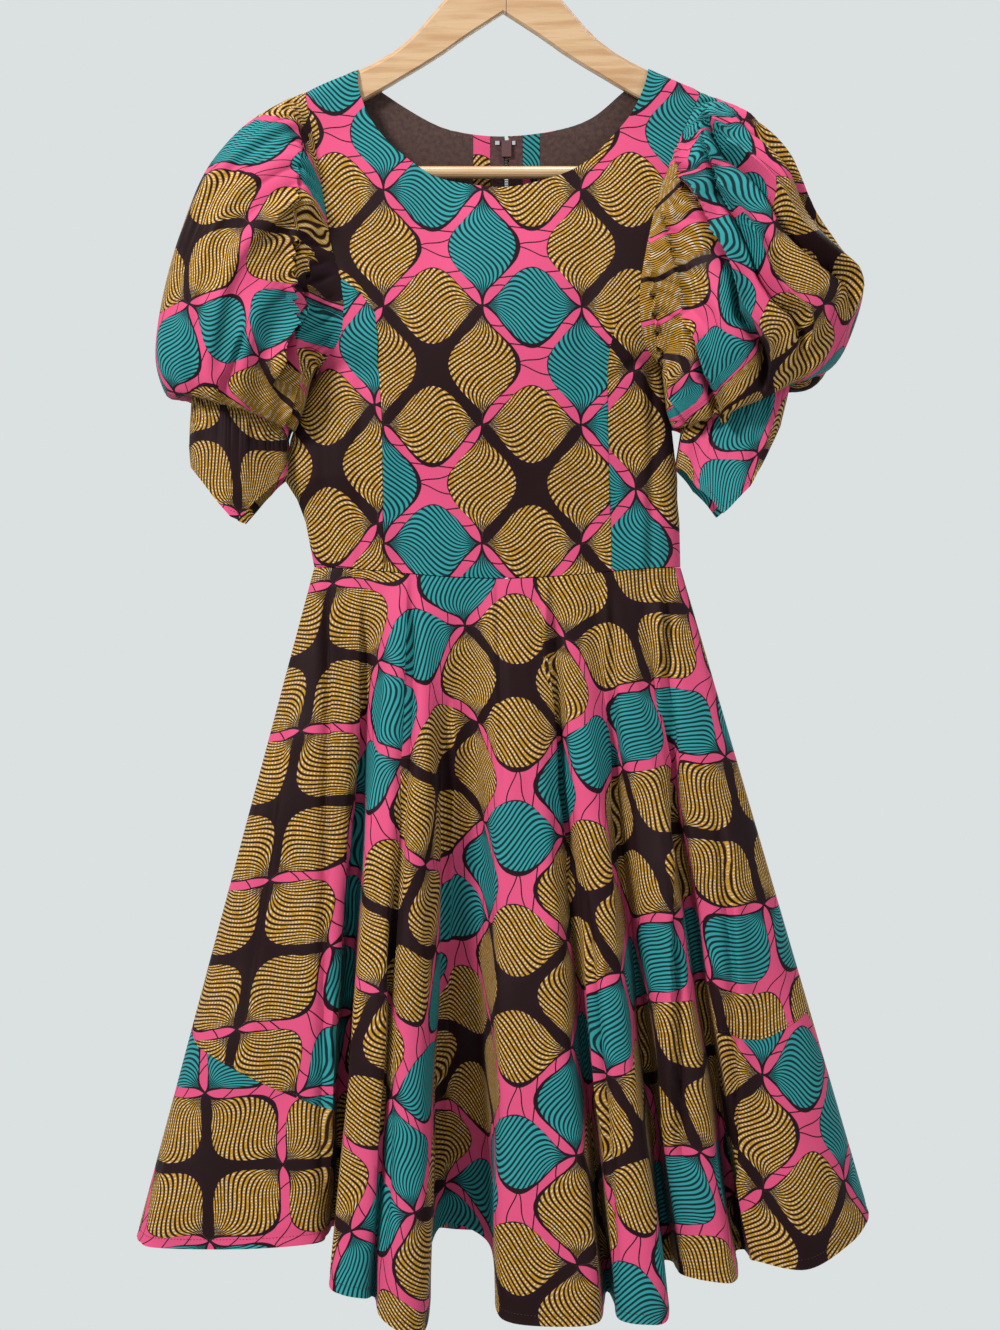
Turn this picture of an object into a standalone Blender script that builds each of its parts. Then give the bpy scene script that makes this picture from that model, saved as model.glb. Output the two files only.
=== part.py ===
"""Wax print dress on a wooden hanger, built as the pieces that a maker cuts and sews.

The front faces -Y and +Z is up. The origin is the inner top of the hanger's hook.
Tables and sizes are in millimetres, and mesh() turns them into metres.
Left and right are the viewer's, looking along +Y.
"""
import math

import bmesh
import bpy
import numpy as np

MM = 0.001

# Cloth
WALL = 1.5
LINING_WALL = 1.0
SEAM_GAP = 0.3
WAIST_GAP = 0.6
LINING_OFFSET = 2.1

# Hanger
HANGER_DEPTH = 12.0
HANGER_CHAMFER = 5.0
HANGER_CREST = 1.0
HANGER_EASE = 2.0
BAR_DIAMETER = 12.0
BAR_Z = -249.0
HOOK_INNER_RADIUS = 20.0
HOOK_WIRE = 4.0
HANGER_TOP_Z = -62.0

# Shoulders: the seam runs straight from the neck point to the shoulder tip on both sides
NECK_X = 135.0
NECK_Z = -152.5
SHOULDER_SLOPE = 0.449
SHOULDER_DEPTH = 10.0

# Skirt: a full circle, cut from the waist radius to the hem radius
WAIST_RADIUS = 111.0
HEM_RADIUS = 785.0

# Zip, with the centre-back line at ZIP_X
ZIP_X = 3.0
ZIP_GAP = 3.0
ZIP_TAPE_INNER = 2.5
ZIP_TAPE_OUTER = 15.0
ALLOWANCE_OUTER = 31.0
ZIP_END_Z = -606.0
SLIDER_Z = -224.0
CHAIN_HALF = 2.2
CHAIN_DEPTH = 2.0
TAB_AXIS_OUT = 3.8
LINING_DROP = 13.0
LINING_END_Z = -325.0

# Boxes of the zip's hardware in the slider's frame: across, out of the back and down, each from and to
SLIDER_BOXES = {
    "body": ((-4.5, 4.5), (-6.4, -3.4), (-7.0, 8.0)),
    "bridge": ((-1.0, 1.0), (-3.9, 0.9), (-6.0, 1.0)),
    "plate": ((-2.6, 2.6), (0.4, 1.6), (-7.0, 4.0)),
    "lug_left": ((-2.6, -1.9), (1.1, 5.0), (-1.4, 1.4)),
    "lug_right": ((1.9, 2.6), (1.1, 5.0), (-1.4, 1.4)),
}
TAB_BOXES = {
    "neck": ((-1.2, 1.2), (3.3, 4.3), (1.3, 6.0)),
    "grip": ((-2.2, 2.2), (3.35, 4.25), (5.0, 22.0)),
}
FASTENING_BOXES = {
    "neck_hook": ((-10.5, -6.5), (-4.6, -3.4), (-6.5, -3.0)),
    "neck_eye": ((5.3, 8.3), (-4.6, -3.4), (-6.5, -3.0)),
}
# Half widths and radii of the pin on the slider and of the tab's ring round it
PIN_HALF = 2.2
PIN_RADIUS = 0.6
RING_HALF = 1.5
RING_RADIUS = 1.7
RING_BORE = 0.95
ROUND_SIDES = 16

# Body of the bodice: height, centre in x, half width, depth to the front and to the back.
# Above the underarm the half width is wide, because the armholes cut the sides away.
BODICE_ROWS = np.array([
    # z, centre, half, front, back
    (-150, 0, 400, 10, 10),
    (-215, -2, 330, 14, 13),
    (-280, -5, 262, 23, 19),
    (-350, -9, 215, 33, 25),
    (-400, -11, 186, 37, 28),
    (-434, -12, 160, 37, 29),
    (-460, -16, 170, 36, 29),
    (-498, -20, 178, 33, 28),
    (-534, -21, 183, 30, 27),
    (-553, -15, 177, 29, 26),
    (-574, -10, 174, 28, 25),
    (-620, -5, 170, 27, 24),
    (-640, -5, 170, 27, 24),
], dtype=float)
SIDE_ROUNDING = 2.6

# Outlines in x, z. Each runs from its upper left or from the shoulder down.
FRONT_NECK = [(-135, -152.5), (-134, -172), (-125, -197), (-110, -219), (-87, -240), (-62, -256),
              (-34, -263), (0, -266), (30, -261), (58, -252), (80, -239), (100, -219), (118, -197),
              (130, -172), (135, -152.5)]
BACK_NECK = [(-135, -152.5), (-111, -174), (-68, -200), (-39, -209.5), (0, -213), (45, -208.5),
             (81, -197), (112, -172), (135, -152.5)]
ARMHOLE = {
    "left": [(-184, -174.5), (-179, -202), (-174, -228), (-166, -275), (-158, -322), (-150, -350),
             (-147, -381), (-152, -409), (-172, -434)],
    "right": [(184, -174.5), (166, -214), (153, -246), (141, -282), (131, -326), (126, -358),
              (126, -386), (132, -414), (148, -434)],
}
PRINCESS = {
    "left": [(-150, -350), (-131, -365), (-117, -386), (-115, -414), (-115, -438), (-112, -470),
             (-111, -535), (-111, -618)],
    "right": [(126, -358), (114, -376), (101, -402), (96, -432), (96, -460), (97, -507),
              (99, -572), (100, -616)],
}
SIDE_SEAM_Z = [-434, -460, -498, -534, -553, -574, -616]
WAIST_Z = -616.0
WAIST_DIP = 11.0
WAIST_CENTRE = -5.0
WAIST_HALF = 170.0

# Places of the bodice's columns between its inner and outer seams
PANEL_SHARES = [0, 0.14, 0.34, 0.56, 0.78, 1]
SIDE_SHARES = [0, 0.3, 0.6, 0.82, 0.95, 1]
BACK_SHARES = [0, 0.22, 0.45, 0.68, 0.86, 0.96, 1]

# How far along the armhole, in mm from the shoulder tip, its seams have a point
ARMHOLE_STEPS_UPPER = [0, 1.5, 4, 8, 16, 34, 58, 84, 110, 134, 156]
ARMHOLE_STEPS_LOWER = 6
SIDE_STEPS = 6
WAIST_STEPS = 7

# Sleeve rings in x, z: the end of each ring on the outline, its end at the underarm, its depth to
# the front and back, and how far its middle bows back towards the armhole
SLEEVE_RINGS = {
    "left": [
        # outer x, outer z, inner x, inner z, depth, bow
        (-205, -182, -184, -430, 44, 17),
        (-243, -207, -188, -437, 58, 8),
        (-276, -249, -191, -445, 68, 2),
        (-300, -307, -193, -453, 72, 0),
        (-315, -366, -195, -462, 70, 0),
        (-323, -421, -198, -472, 64, 0),
        (-315, -455, -202, -483, 56, 4),
        (-302, -460, -206, -491, 50, 6),
        (-293, -449, -210, -489, 44, 8),
        (-290, -459, -213, -497, 41, 4),
    ],
    "right": [
        (205, -182, 160, -430, 44, 17),
        (238, -203, 160, -437, 58, 8),
        (265, -236, 161, -445, 68, 2),
        (283, -283, 162, -454, 72, 0),
        (312, -320, 163, -463, 72, 0),
        (334, -354, 164, -472, 66, 0),
        (318, -410, 167, -481, 56, -8),
        (298, -435, 171, -488, 47, -3),
        (282, -426, 175, -479, 40, 2),
        (269, -438, 179, -488, 33, -2),
    ],
}

# Lower tier: its hem from the outer side to the body side
TIER_HEM = {
    "left": [(-291, -508), (-289, -524), (-276, -539), (-264, -555), (-250, -571), (-243, -574),
             (-233, -563), (-220, -547), (-212, -532)],
    "right": [(256, -487), (246, -506), (237, -524), (226, -543), (208, -562), (201, -568),
              (192, -556), (181, -544), (173, -524)],
}
TIER_DEPTH = 42.0
TIER_ROWS = [0.25, 0.6, 1.0]

# Gathers of the sleeves: place along the armhole (0 shoulder, 1 underarm), height and width
SLEEVE_FOLDS = {
    "front": [(0.17, 7, 0.055), (0.31, 9, 0.06), (0.46, 8, 0.055), (0.62, 8, 0.06), (0.78, 6, 0.05)],
    "back": [(0.15, 6, 0.06), (0.30, 8, 0.06), (0.47, 8, 0.06), (0.65, 7, 0.06), (0.80, 5, 0.05)],
}

# Hem of the front skirt from the left side seam to the right one, one row for each edge of a fold:
# x, y (negative is forward), z
FRONT_HEM = [
    (-341, 0, -1238), (-336, -16, -1240), (-318, -34, -1242), (-240, -50, -1240), (-172, -54, -1234),
    (-162, -32, -1231), (-160, -14, -1230), (-159, 5, -1230), (-149, 5, -1232), (-151, -40, -1246),
    (-157, -78, -1266), (-145, -92, -1272), (-124, -90, -1276), (-117, -66, -1280), (-111, -90, -1292),
    (-92, -102, -1303), (-72, -92, -1306), (-66, -55, -1285), (-66, -4, -1244), (-50, 10, -1228),
    (-16, 10, -1244), (-8, -30, -1268), (-6, -74, -1290), (8, -90, -1298), (50, -96, -1300),
    (84, -90, -1298), (92, -50, -1290), (96, -18, -1286), (101, -46, -1290), (104, -84, -1296),
    (126, -96, -1298), (148, -86, -1296), (149, -45, -1272), (149, 0, -1262), (157, 0, -1262),
    (159, -34, -1261), (163, -62, -1261), (186, -74, -1264), (210, -68, -1266), (215, -34, -1258),
    (216, 0, -1252), (223, 0, -1250), (225, -15, -1250), (226, -30, -1250), (230, -52, -1250),
    (276, -62, -1256), (318, -42, -1236), (336, -18, -1222), (340, 0, -1216),
]

# Hem of the back skirt from the left side seam round the back to the right one
BACK_HEM = [
    (-341, 0, -1238), (-335, 18, -1234), (-314, 40, -1228), (-282, 56, -1224), (-256, 42, -1220),
    (-251, 23, -1217), (-247, 4, -1214), (-240, 42, -1222), (-222, 76, -1230), (-188, 84, -1236), (-162, 66, -1234),
    (-154, 22, -1226), (-146, 66, -1236), (-128, 92, -1244), (-94, 96, -1248), (-66, 76, -1246),
    (-58, 28, -1236), (-48, 72, -1246), (-30, 88, -1250), (3, 92, -1252), (36, 88, -1250),
    (54, 72, -1246), (62, 28, -1236), (70, 74, -1246), (96, 96, -1248), (132, 92, -1244),
    (152, 68, -1238), (158, 24, -1228), (166, 66, -1236), (192, 84, -1238), (226, 76, -1234),
    (244, 44, -1226), (250, 6, -1216), (255, 24, -1219), (260, 42, -1222), (286, 54, -1226), (316, 38, -1222),
    (335, 18, -1220), (340, 0, -1216),
]
WIDEST_COLUMN = 46.0
# Rows down the skirt, with None for the row that follows the corners' seams
SKIRT_ROWS = [0.0, 0.07, 0.17, 0.32, 0.5, None, 0.85, 1.0]
SEAM_ROW = 5
PLAIN_SEAM_ROW = 0.69

# Pieced corners: where the seam crosses the side seam and the last fold edge that shows, as shares
# of the skirt's length, and how far round the hem, in mm, that edge and the seam's end lie
CORNERS = {
    "front_left": {"at_side": 0.687, "at_edge": 0.80, "at_end": 0.82, "edge": 191, "end": 234},
    "front_right": {"at_side": 0.68, "at_edge": 0.675, "at_end": 0.675, "edge": 150, "end": 190},
    "back_left": {"at_side": 0.687, "at_edge": 0.76, "at_end": 0.78, "edge": 116, "end": 137},
    "back_right": {"at_side": 0.68, "at_edge": 0.74, "at_end": 0.76, "edge": 110, "end": 129},
}

# Arms of the hanger, right half: x, top, bottom
HANGER_ROWS = [
    (0, -62, -101), (14, -62.5, -110), (31, -68, -121), (44, -78, -130), (55, -89, -138),
    (66, -102, -145), (78, -116, -152.5), (90, -127.5, -159.5), (104, -138, -168), (118, -146.2, -176),
    (135, -154.7, -185.5), (160, -165.9, -197), (184, -176.7, -209), (192, -180.3, -213),
    (192.01, -180.3, -254), (196, -182.1, -257.5), (205, -186.1, -258.5), (214, -191.5, -257.5),
    (221, -199, -253), (225, -210, -244),
]
BAR_END_ROW = 13


def smooth_curve(points, count=None, steps=None):
    """Points of a Catmull-Rom curve through the rows, evenly spaced or at the given lengths."""
    rows = np.asarray(points, dtype=float)
    padded = np.vstack([2 * rows[0] - rows[1], rows, 2 * rows[-1] - rows[-2]])
    dense = []
    for i in range(len(rows) - 1):
        a, b, c, d = padded[i:i + 4]
        for t in np.linspace(0, 1, 24, endpoint=False):
            dense.append(0.5 * (2 * b + (c - a) * t + (2 * a - 5 * b + 4 * c - d) * t * t
                                + (3 * b - a - 3 * c + d) * t ** 3))
    dense.append(rows[-1])
    dense = np.array(dense)
    length = np.concatenate([[0], np.cumsum(np.linalg.norm(np.diff(dense, axis=0), axis=1))])
    if steps is None:
        steps = np.linspace(0, length[-1], count)
    return np.column_stack([np.interp(steps, length, dense[:, k]) for k in range(rows.shape[1])])


def curve_length(points):
    dense = smooth_curve(points, 400)
    return float(np.linalg.norm(np.diff(dense, axis=0), axis=1).sum())


def bodice_row(z):
    """Centre, half width, front depth and back depth of the bodice at a height."""
    rows = BODICE_ROWS[::-1]
    return [np.interp(z, rows[:, 0], rows[:, k]) for k in range(1, 5)]


def shoulder_z(x):
    return NECK_Z - SHOULDER_SLOPE * max(abs(x) - NECK_X, 0.0)


def bodice_y(x, z, side):
    """Depth of the bodice's outer surface: negative at the front, positive at the back."""
    centre, half, front, back = bodice_row(z)
    below = min(max((shoulder_z(x) - z) / SHOULDER_DEPTH, 0.0), 1.0)
    over_shoulder = math.sqrt(1 - (1 - below) ** 2)
    across = min(abs(x - centre) / half, 1.0)
    lens = math.sqrt(max(1 - across ** SIDE_ROUNDING, 0.0))
    if side == "front":
        return -front * lens * over_shoulder
    return back * lens * over_shoulder


def bodice_point(x, z, side):
    return np.array([x, bodice_y(x, z, side), z])


def bodice_normal(x, z, side):
    """Direction out of the bodice's outer surface, from its slopes."""
    step = 0.5
    slope_x = (bodice_y(x + step, z, side) - bodice_y(x - step, z, side)) / (2 * step)
    slope_z = (bodice_y(x, z + step, side) - bodice_y(x, z - step, side)) / (2 * step)
    direction = np.array([slope_x, -1.0, slope_z])
    if side == "back":
        direction = -direction
    return direction / np.linalg.norm(direction)


def side_seam(hand):
    """The side seam's points from the underarm to the waist, in x, z."""
    sign = -1 if hand == "left" else 1
    points = []
    for z in np.interp(np.linspace(0, 1, SIDE_STEPS + 1), np.linspace(0, 1, len(SIDE_SEAM_Z)), SIDE_SEAM_Z):
        centre, half, _, _ = bodice_row(z)
        points.append((centre + sign * half, z))
    return np.array(points)


def armhole_points(hand):
    """The armhole's points from the shoulder tip to the underarm, in x, z."""
    length = curve_length(ARMHOLE[hand])
    cut = princess_cut(hand)
    steps = [s for s in ARMHOLE_STEPS_UPPER if s < cut - 8]
    lower = cut + (length - cut) * np.sin(np.linspace(0, math.pi / 2, ARMHOLE_STEPS_LOWER + 1))
    steps = np.concatenate([steps, lower])
    return smooth_curve(ARMHOLE[hand], steps=steps)


def princess_cut(hand):
    """How far down the armhole its princess seam starts."""
    dense = smooth_curve(ARMHOLE[hand], 600)
    nearest = np.argmin(np.linalg.norm(dense - np.array(PRINCESS[hand][0]), axis=1))
    return curve_length(ARMHOLE[hand]) * nearest / 599


def waist_z(x):
    """Height of the waist seam, which dips towards its middle."""
    across = min(abs(x - WAIST_CENTRE) / WAIST_HALF, 1.0)
    return WAIST_Z - WAIST_DIP * math.cos(across * math.pi / 2) ** 1.6


def princess_points(hand):
    count = ARMHOLE_STEPS_LOWER + SIDE_STEPS + 1
    points = smooth_curve(PRINCESS[hand], count)
    points[-1][1] = waist_z(points[-1][0])
    return points


def mesh(name, faces_of, material, smooth=True):
    """A closed object from a function that fills a bmesh in millimetres."""
    work = bmesh.new()
    faces_of(work)
    bmesh.ops.remove_doubles(work, verts=work.verts, dist=1e-5)
    bmesh.ops.recalc_face_normals(work, faces=work.faces)
    bmesh.ops.scale(work, vec=(MM, MM, MM), verts=work.verts)
    data = bpy.data.meshes.new(name)
    work.to_mesh(data)
    work.free()
    data.materials.append(material)
    if smooth:
        data.shade_smooth()
        data.set_sharp_from_angle(angle=math.radians(50))
    obj = bpy.data.objects.new(name, data)
    bpy.context.scene.collection.objects.link(obj)
    return obj


def unit_steps(grid, axis, closed):
    """The mean direction of the steps before and after each point along one axis."""
    steps = np.diff(grid, axis=axis, append=np.take(grid, [0], axis=axis))
    steps /= np.maximum(np.linalg.norm(steps, axis=2, keepdims=True), 1e-9)
    before = np.roll(steps, 1, axis=axis)
    if closed:
        return steps + before
    mean = steps + before
    first = [slice(None)] * 3
    last = [slice(None)] * 3
    first[axis] = 0
    last[axis] = -1
    mean[tuple(first)] = steps[tuple(first)]
    mean[tuple(last)] = before[tuple(last)]
    return mean


def grid_normals(grid, closed):
    """Unit normals of a grid of points, from the neighbours along both directions."""
    normals = np.cross(unit_steps(grid, 0, closed), unit_steps(grid, 1, False))
    size = np.linalg.norm(normals, axis=2, keepdims=True)
    return normals / np.maximum(size, 1e-9)


def cloth(name, grid, normals, material, closed=False, inset=(0, 0, 0, 0), wall=WALL, lift=0.0,
          edge_normals=None, keep=None):
    """A wall of cloth under a grid of outer points.

    normals: the direction out of the garment at each point.
    inset: how far the first row, last row, first column and last column are drawn in.
    lift: how far the outer points are moved into the garment first.
    edge_normals: normals that a seam's two pieces share, as {(row, column): direction}.
    keep: says of a cell, by its row and column, whether the piece has it.
    """
    grid = np.array(grid, dtype=float)
    normals = np.array(normals, dtype=float)
    if edge_normals:
        for (i, j), direction in edge_normals.items():
            normals[i, j] = direction
    drawn = grid.copy()
    for amount, here, there in (
        (inset[0], np.s_[0, :], np.s_[1, :]), (inset[1], np.s_[-1, :], np.s_[-2, :]),
        (inset[2], np.s_[:, 0], np.s_[:, 1]), (inset[3], np.s_[:, -1], np.s_[:, -2]),
    ):
        if amount:
            way = grid[there] - grid[here]
            run = np.linalg.norm(way, axis=1, keepdims=True)
            drawn[here] += np.minimum(amount / run, 0.4) * way
    outer = drawn - normals * lift
    inner = drawn - normals * (lift + wall)
    rows, columns = outer.shape[:2]
    last = rows if closed else rows - 1
    cells = {(i, j) for i in range(last) for j in range(columns - 1) if keep is None or keep(i, j)}

    def faces_of(work):
        top = {}
        under = {}
        for i, j in cells:
            for corner in ((i, j), ((i + 1) % rows, j), ((i + 1) % rows, j + 1), (i, j + 1)):
                if corner not in top:
                    top[corner] = work.verts.new(outer[corner])
                    under[corner] = work.verts.new(inner[corner])
        for i, j in sorted(cells):
            k = (i + 1) % rows
            work.faces.new((top[i, j], top[k, j], top[k, j + 1], top[i, j + 1]))
            work.faces.new((under[i, j], under[i, j + 1], under[k, j + 1], under[k, j]))
            before = (i - 1) % rows if closed else i - 1
            after = k if closed else i + 1
            for neighbour, a, b in (((before, j), (i, j), (i, j + 1)), ((after, j), (k, j), (k, j + 1)),
                                    ((i, j - 1), (i, j), (k, j)), ((i, j + 1), (i, j + 1), (k, j + 1))):
                if neighbour not in cells:
                    work.faces.new((top[a], top[b], under[b]))
                    work.faces.new((top[a], under[b], under[a]))

    return mesh(name, faces_of, material)


def shoulder_normal(hand):
    sign = -1 if hand == "left" else 1
    direction = np.array([sign * SHOULDER_SLOPE, 0.0, 1.0])
    return direction / np.linalg.norm(direction)


def neck_for(outline, outer_length, keys_outer, keys_neck):
    """Points on a neckline that face the points of the outer seam."""
    steps = np.interp(outer_length, keys_outer, keys_neck)
    return smooth_curve(outline, steps=steps)


def lengths(points):
    return np.concatenate([[0], np.cumsum(np.linalg.norm(np.diff(points, axis=0), axis=1))])


def strips(inner, outer, side, shares, to_waist=False):
    """Outer points and normals between an inner seam and the outer seam that faces it."""
    grid = []
    normals = []
    last = len(inner) - 1
    for k, (a, b) in enumerate(zip(inner, outer)):
        places = [a + (b - a) * share for share in shares]
        if to_waist and k == last:
            places = [np.array([x, waist_z(x)]) for x, _ in places]
        grid.append([bodice_point(x, z, side) for x, z in places])
        normals.append([bodice_normal(x, z, side) for x, z in places])
    return np.array(grid), np.array(normals)


def front_center_panel(material):
    left = armhole_points("left")[:-ARMHOLE_STEPS_LOWER]
    right = armhole_points("right")[:-ARMHOLE_STEPS_LOWER]
    left_seam = princess_points("left")
    right_seam = princess_points("right")
    waist_x = np.linspace(left_seam[-1][0], right_seam[-1][0], WAIST_STEPS + 1)[1:-1]
    waist = np.array([(x, waist_z(x)) for x in waist_x])
    outer = np.vstack([left, left_seam[1:], waist, right_seam[::-1], right[::-1][1:]])
    run = lengths(outer)
    armhole_end = run[len(left) - 1]
    right_start = run[-len(right)]
    waist_start = run[len(left) + len(left_seam) - 2]
    waist_end = run[-len(right) - len(right_seam) + 1]
    neck_length = curve_length(FRONT_NECK)
    neck = neck_for(FRONT_NECK, run,
                    [0, 16, armhole_end, waist_start, waist_end, right_start, run[-1] - 16, run[-1]],
                    [0, 16, 92, 155, neck_length - 155, neck_length - 92, neck_length - 16, neck_length])
    grid, normals = strips(neck, outer, "front", PANEL_SHARES)
    half = SEAM_GAP / 2
    columns = len(PANEL_SHARES)
    edge = {(0, j): shoulder_normal("left") for j in range(columns)}
    edge.update({(len(grid) - 1, j): shoulder_normal("right") for j in range(columns)})
    return cloth("front_center_panel", grid, normals, material, inset=(half, half, 0, half),
                 edge_normals=edge)


def front_side_panel(hand, material):
    arm = armhole_points(hand)[-ARMHOLE_STEPS_LOWER - 1:]
    seam = side_seam(hand)
    outer = np.vstack([arm, seam[1:]])
    inner = princess_points(hand)
    outer[0] += (outer[1] - outer[0]) * 0.12
    inner[0] += (inner[1] - inner[0]) * 0.12
    grid, normals = strips(inner, outer, "front", SIDE_SHARES, to_waist=True)
    sign = -1.0 if hand == "left" else 1.0
    columns = len(SIDE_SHARES)
    edge = {(i, columns - 1): np.array([sign, 0.0, 0.0]) for i in range(len(arm) - 1, len(grid))}
    half = SEAM_GAP / 2
    return cloth("front_side_panel_" + hand, grid, normals, material, inset=(half, half, half, half),
                 edge_normals=edge)


def back_bodice(hand, material):
    """The back half panel: strips from the neck and centre-back edges to the armhole and side."""
    arm = armhole_points(hand)
    seam = side_seam(hand)
    sign = -1 if hand == "left" else 1
    centre_x = ZIP_X + sign * ZIP_GAP / 2
    outer = np.vstack([arm, seam[1:]])
    run = lengths(outer)
    outline = smooth_curve(BACK_NECK if hand == "left" else BACK_NECK[::-1], 600)
    outline = outline[(outline[:, 0] - centre_x) * sign > 0]
    neck_length = lengths(outline)[-1]
    edge_line = np.vstack([outline, [(centre_x, waist_z(centre_x))]])
    edge_run = lengths(edge_line)
    arm_end = run[len(arm) - 1]
    steps = np.interp(run, [0, 16, 84, arm_end, run[-1]], [0, 16, neck_length, neck_length + 205, edge_run[-1]])
    inner = np.column_stack([np.interp(steps, edge_run, edge_line[:, k]) for k in range(2)])
    nearest = np.argmin(np.abs(steps - neck_length))
    inner[nearest] = outline[-1]
    inner[nearest:, 0] = centre_x
    grid, normals = strips(inner, outer, "back", BACK_SHARES, to_waist=True)
    half = SEAM_GAP / 2
    columns = len(BACK_SHARES)
    edge = {(0, j): shoulder_normal(hand) for j in range(columns)}
    for i in range(len(arm) - 1, len(outer)):
        edge[(i, columns - 1)] = np.array([float(sign), 0.0, 0.0])
    return cloth("back_bodice_" + hand, grid, normals, material, inset=(half, 0, 0, half), edge_normals=edge)


def sleeve_grid(hand):
    """Rings of the sleeve from the armhole to the hem of its lower tier."""
    sign = -1 if hand == "left" else 1
    arm = armhole_points(hand)
    share = lengths(arm) / lengths(arm)[-1]
    turns = [(t, "front") for t in share] + [(t, "back") for t in share[-2:0:-1]]
    rings = []
    first = []
    for index, (t, face) in enumerate(turns):
        x, z = arm[index] if face == "front" else arm[2 * len(arm) - 2 - index]
        first.append(bodice_point(x, z, face))
    rings.append(first)
    rows = SLEEVE_RINGS[hand]
    for number, (outer_x, outer_z, inner_x, inner_z, depth, bow) in enumerate(rows):
        reach = np.array([outer_x - inner_x, 0.0, outer_z - inner_z])
        back_way = np.array([-sign * reach[2], 0.0, sign * reach[0]]) / np.linalg.norm(reach)
        centre = np.array([outer_x + inner_x, 0.0, outer_z + inner_z]) / 2
        grown = min(number + 1, 3) / 3 * min(len(rows) - number, 3) / 3
        ring = []
        for t, face in turns:
            angle = math.pi * t
            out = -1.0 if face == "front" else 1.0
            fold = sum(height * math.exp(-((t - place) / width) ** 2) for place, height, width in SLEEVE_FOLDS[face])
            deep = depth * math.sin(angle) ** 0.8 + (fold - 3) * grown * math.sin(angle)
            middle = bow * math.sin(angle)
            ring.append(centre + reach / 2 * math.cos(angle) + back_way * middle + np.array([0, out * deep, 0]))
        rings.append(ring)
    hem = np.array(TIER_HEM[hand], dtype=float)
    order = np.argsort(hem[:, 0])
    left_x, right_x = hem[order[0]][0], hem[order[-1]][0]
    top = np.array(rings[-1])
    bottom = []
    for t, face in turns:
        angle = math.pi * t
        out = -1.0 if face == "front" else 1.0
        x = (left_x + right_x) / 2 + sign * (right_x - left_x) / 2 * math.cos(angle)
        z = float(np.interp(x, hem[order, 0], hem[order, 1]))
        bottom.append(np.array([x, out * TIER_DEPTH * math.sin(angle) ** 0.8, z]))
    bottom = np.array(bottom)
    for row in TIER_ROWS:
        ring = top + (bottom - top) * row
        rings.append(ring)
    return np.array([np.array(ring) for ring in rings]).transpose(1, 0, 2)


def sleeve(hand, material):
    grid = sleeve_grid(hand)
    normals = grid_normals(grid, closed=True)
    if hand == "left":
        normals = -normals
    return cloth("sleeve_" + hand, grid, normals, material, closed=True, inset=(0, 0, SEAM_GAP, 0),
                 edge_normals={(0, 0): shoulder_normal(hand)})


def waist_curve(side):
    """Dense points of the skirt's top edge, from the left side seam to the right one."""
    centre, half, _, _ = bodice_row(-616)
    points = []
    for angle in np.linspace(0, math.pi, 500):
        x = centre - half * math.cos(angle)
        z = waist_z(x)
        y = bodice_y(x, z, side)
        points.append((x, y, z - WAIST_GAP))
    return np.array(points)


def skirt_columns(side):
    """Each column's share of the way round, its waist point and its hem point."""
    rows = np.array(FRONT_HEM if side == "front" else BACK_HEM, dtype=float)
    hem = smooth_curve(rows, 4000)
    hem_run = lengths(hem)
    marks = []
    for row in rows:
        marks.append(hem_run[np.argmin(np.linalg.norm(hem - row, axis=1))])
    marks = np.array(marks)
    wide = np.diff(marks) > WIDEST_COLUMN
    marks = np.sort(np.concatenate([marks, (marks[:-1] + marks[1:])[wide] / 2, [6, hem_run[-1] - 6]]))
    waist = waist_curve(side)
    waist_run = lengths(waist)
    shares = marks / hem_run[-1]
    top = np.column_stack([np.interp(shares * waist_run[-1], waist_run, waist[:, k]) for k in range(3)])
    bottom = np.column_stack([np.interp(marks, hem_run, hem[:, k]) for k in range(3)])
    return shares, top, bottom, hem_run[-1]


def skirt_wall(side, reaches):
    """Outer points and normals at shares of the skirt's length, a list of them for each column."""
    shares, top, bottom, _ = skirt_columns(side)
    grid = []
    normals = []
    last = len(shares) - 1
    for k, column in enumerate(reaches):
        points = []
        directions = []
        for s in column:
            before, here, after = [top[i] + (bottom[i] - top[i]) * s for i in (max(k - 1, 0), k, min(k + 1, last))]
            along = np.zeros(3)
            for a, b in ((before, here), (here, after)):
                along += (b - a) / max(np.linalg.norm(b - a), 1e-9)
            direction = np.cross(bottom[k] - top[k], along)
            if side == "back":
                direction = -direction
            if k == 0:
                direction = np.array([-1.0, 0.0, 0.0])
            if k == last:
                direction = np.array([1.0, 0.0, 0.0])
            points.append(here)
            directions.append(direction / np.linalg.norm(direction))
        grid.append(points)
        normals.append(directions)
    return np.array(grid), np.array(normals)


def corner_last(side, hand):
    """The column at which a pieced corner ends, in the valley of a fold."""
    shares, _, _, hem_length = skirt_columns(side)
    from_side = (shares if hand == "left" else 1 - shares) * hem_length
    return int(np.argmin(np.abs(from_side - CORNERS[side + "_" + hand]["end"])))


def corner_seam(side, hand, index):
    """Share of the length at which a corner's seam crosses a column, or None past its end."""
    shares, _, _, hem_length = skirt_columns(side)
    corner = CORNERS[side + "_" + hand]
    last = corner_last(side, hand)
    if (hand == "left" and index > last) or (hand == "right" and index < last):
        return None
    from_side = (shares[index] if hand == "left" else 1 - shares[index]) * hem_length
    return float(np.interp(from_side, [0, corner["edge"], corner["end"]],
                           [corner["at_side"], corner["at_edge"], corner["at_end"]]))


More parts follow.
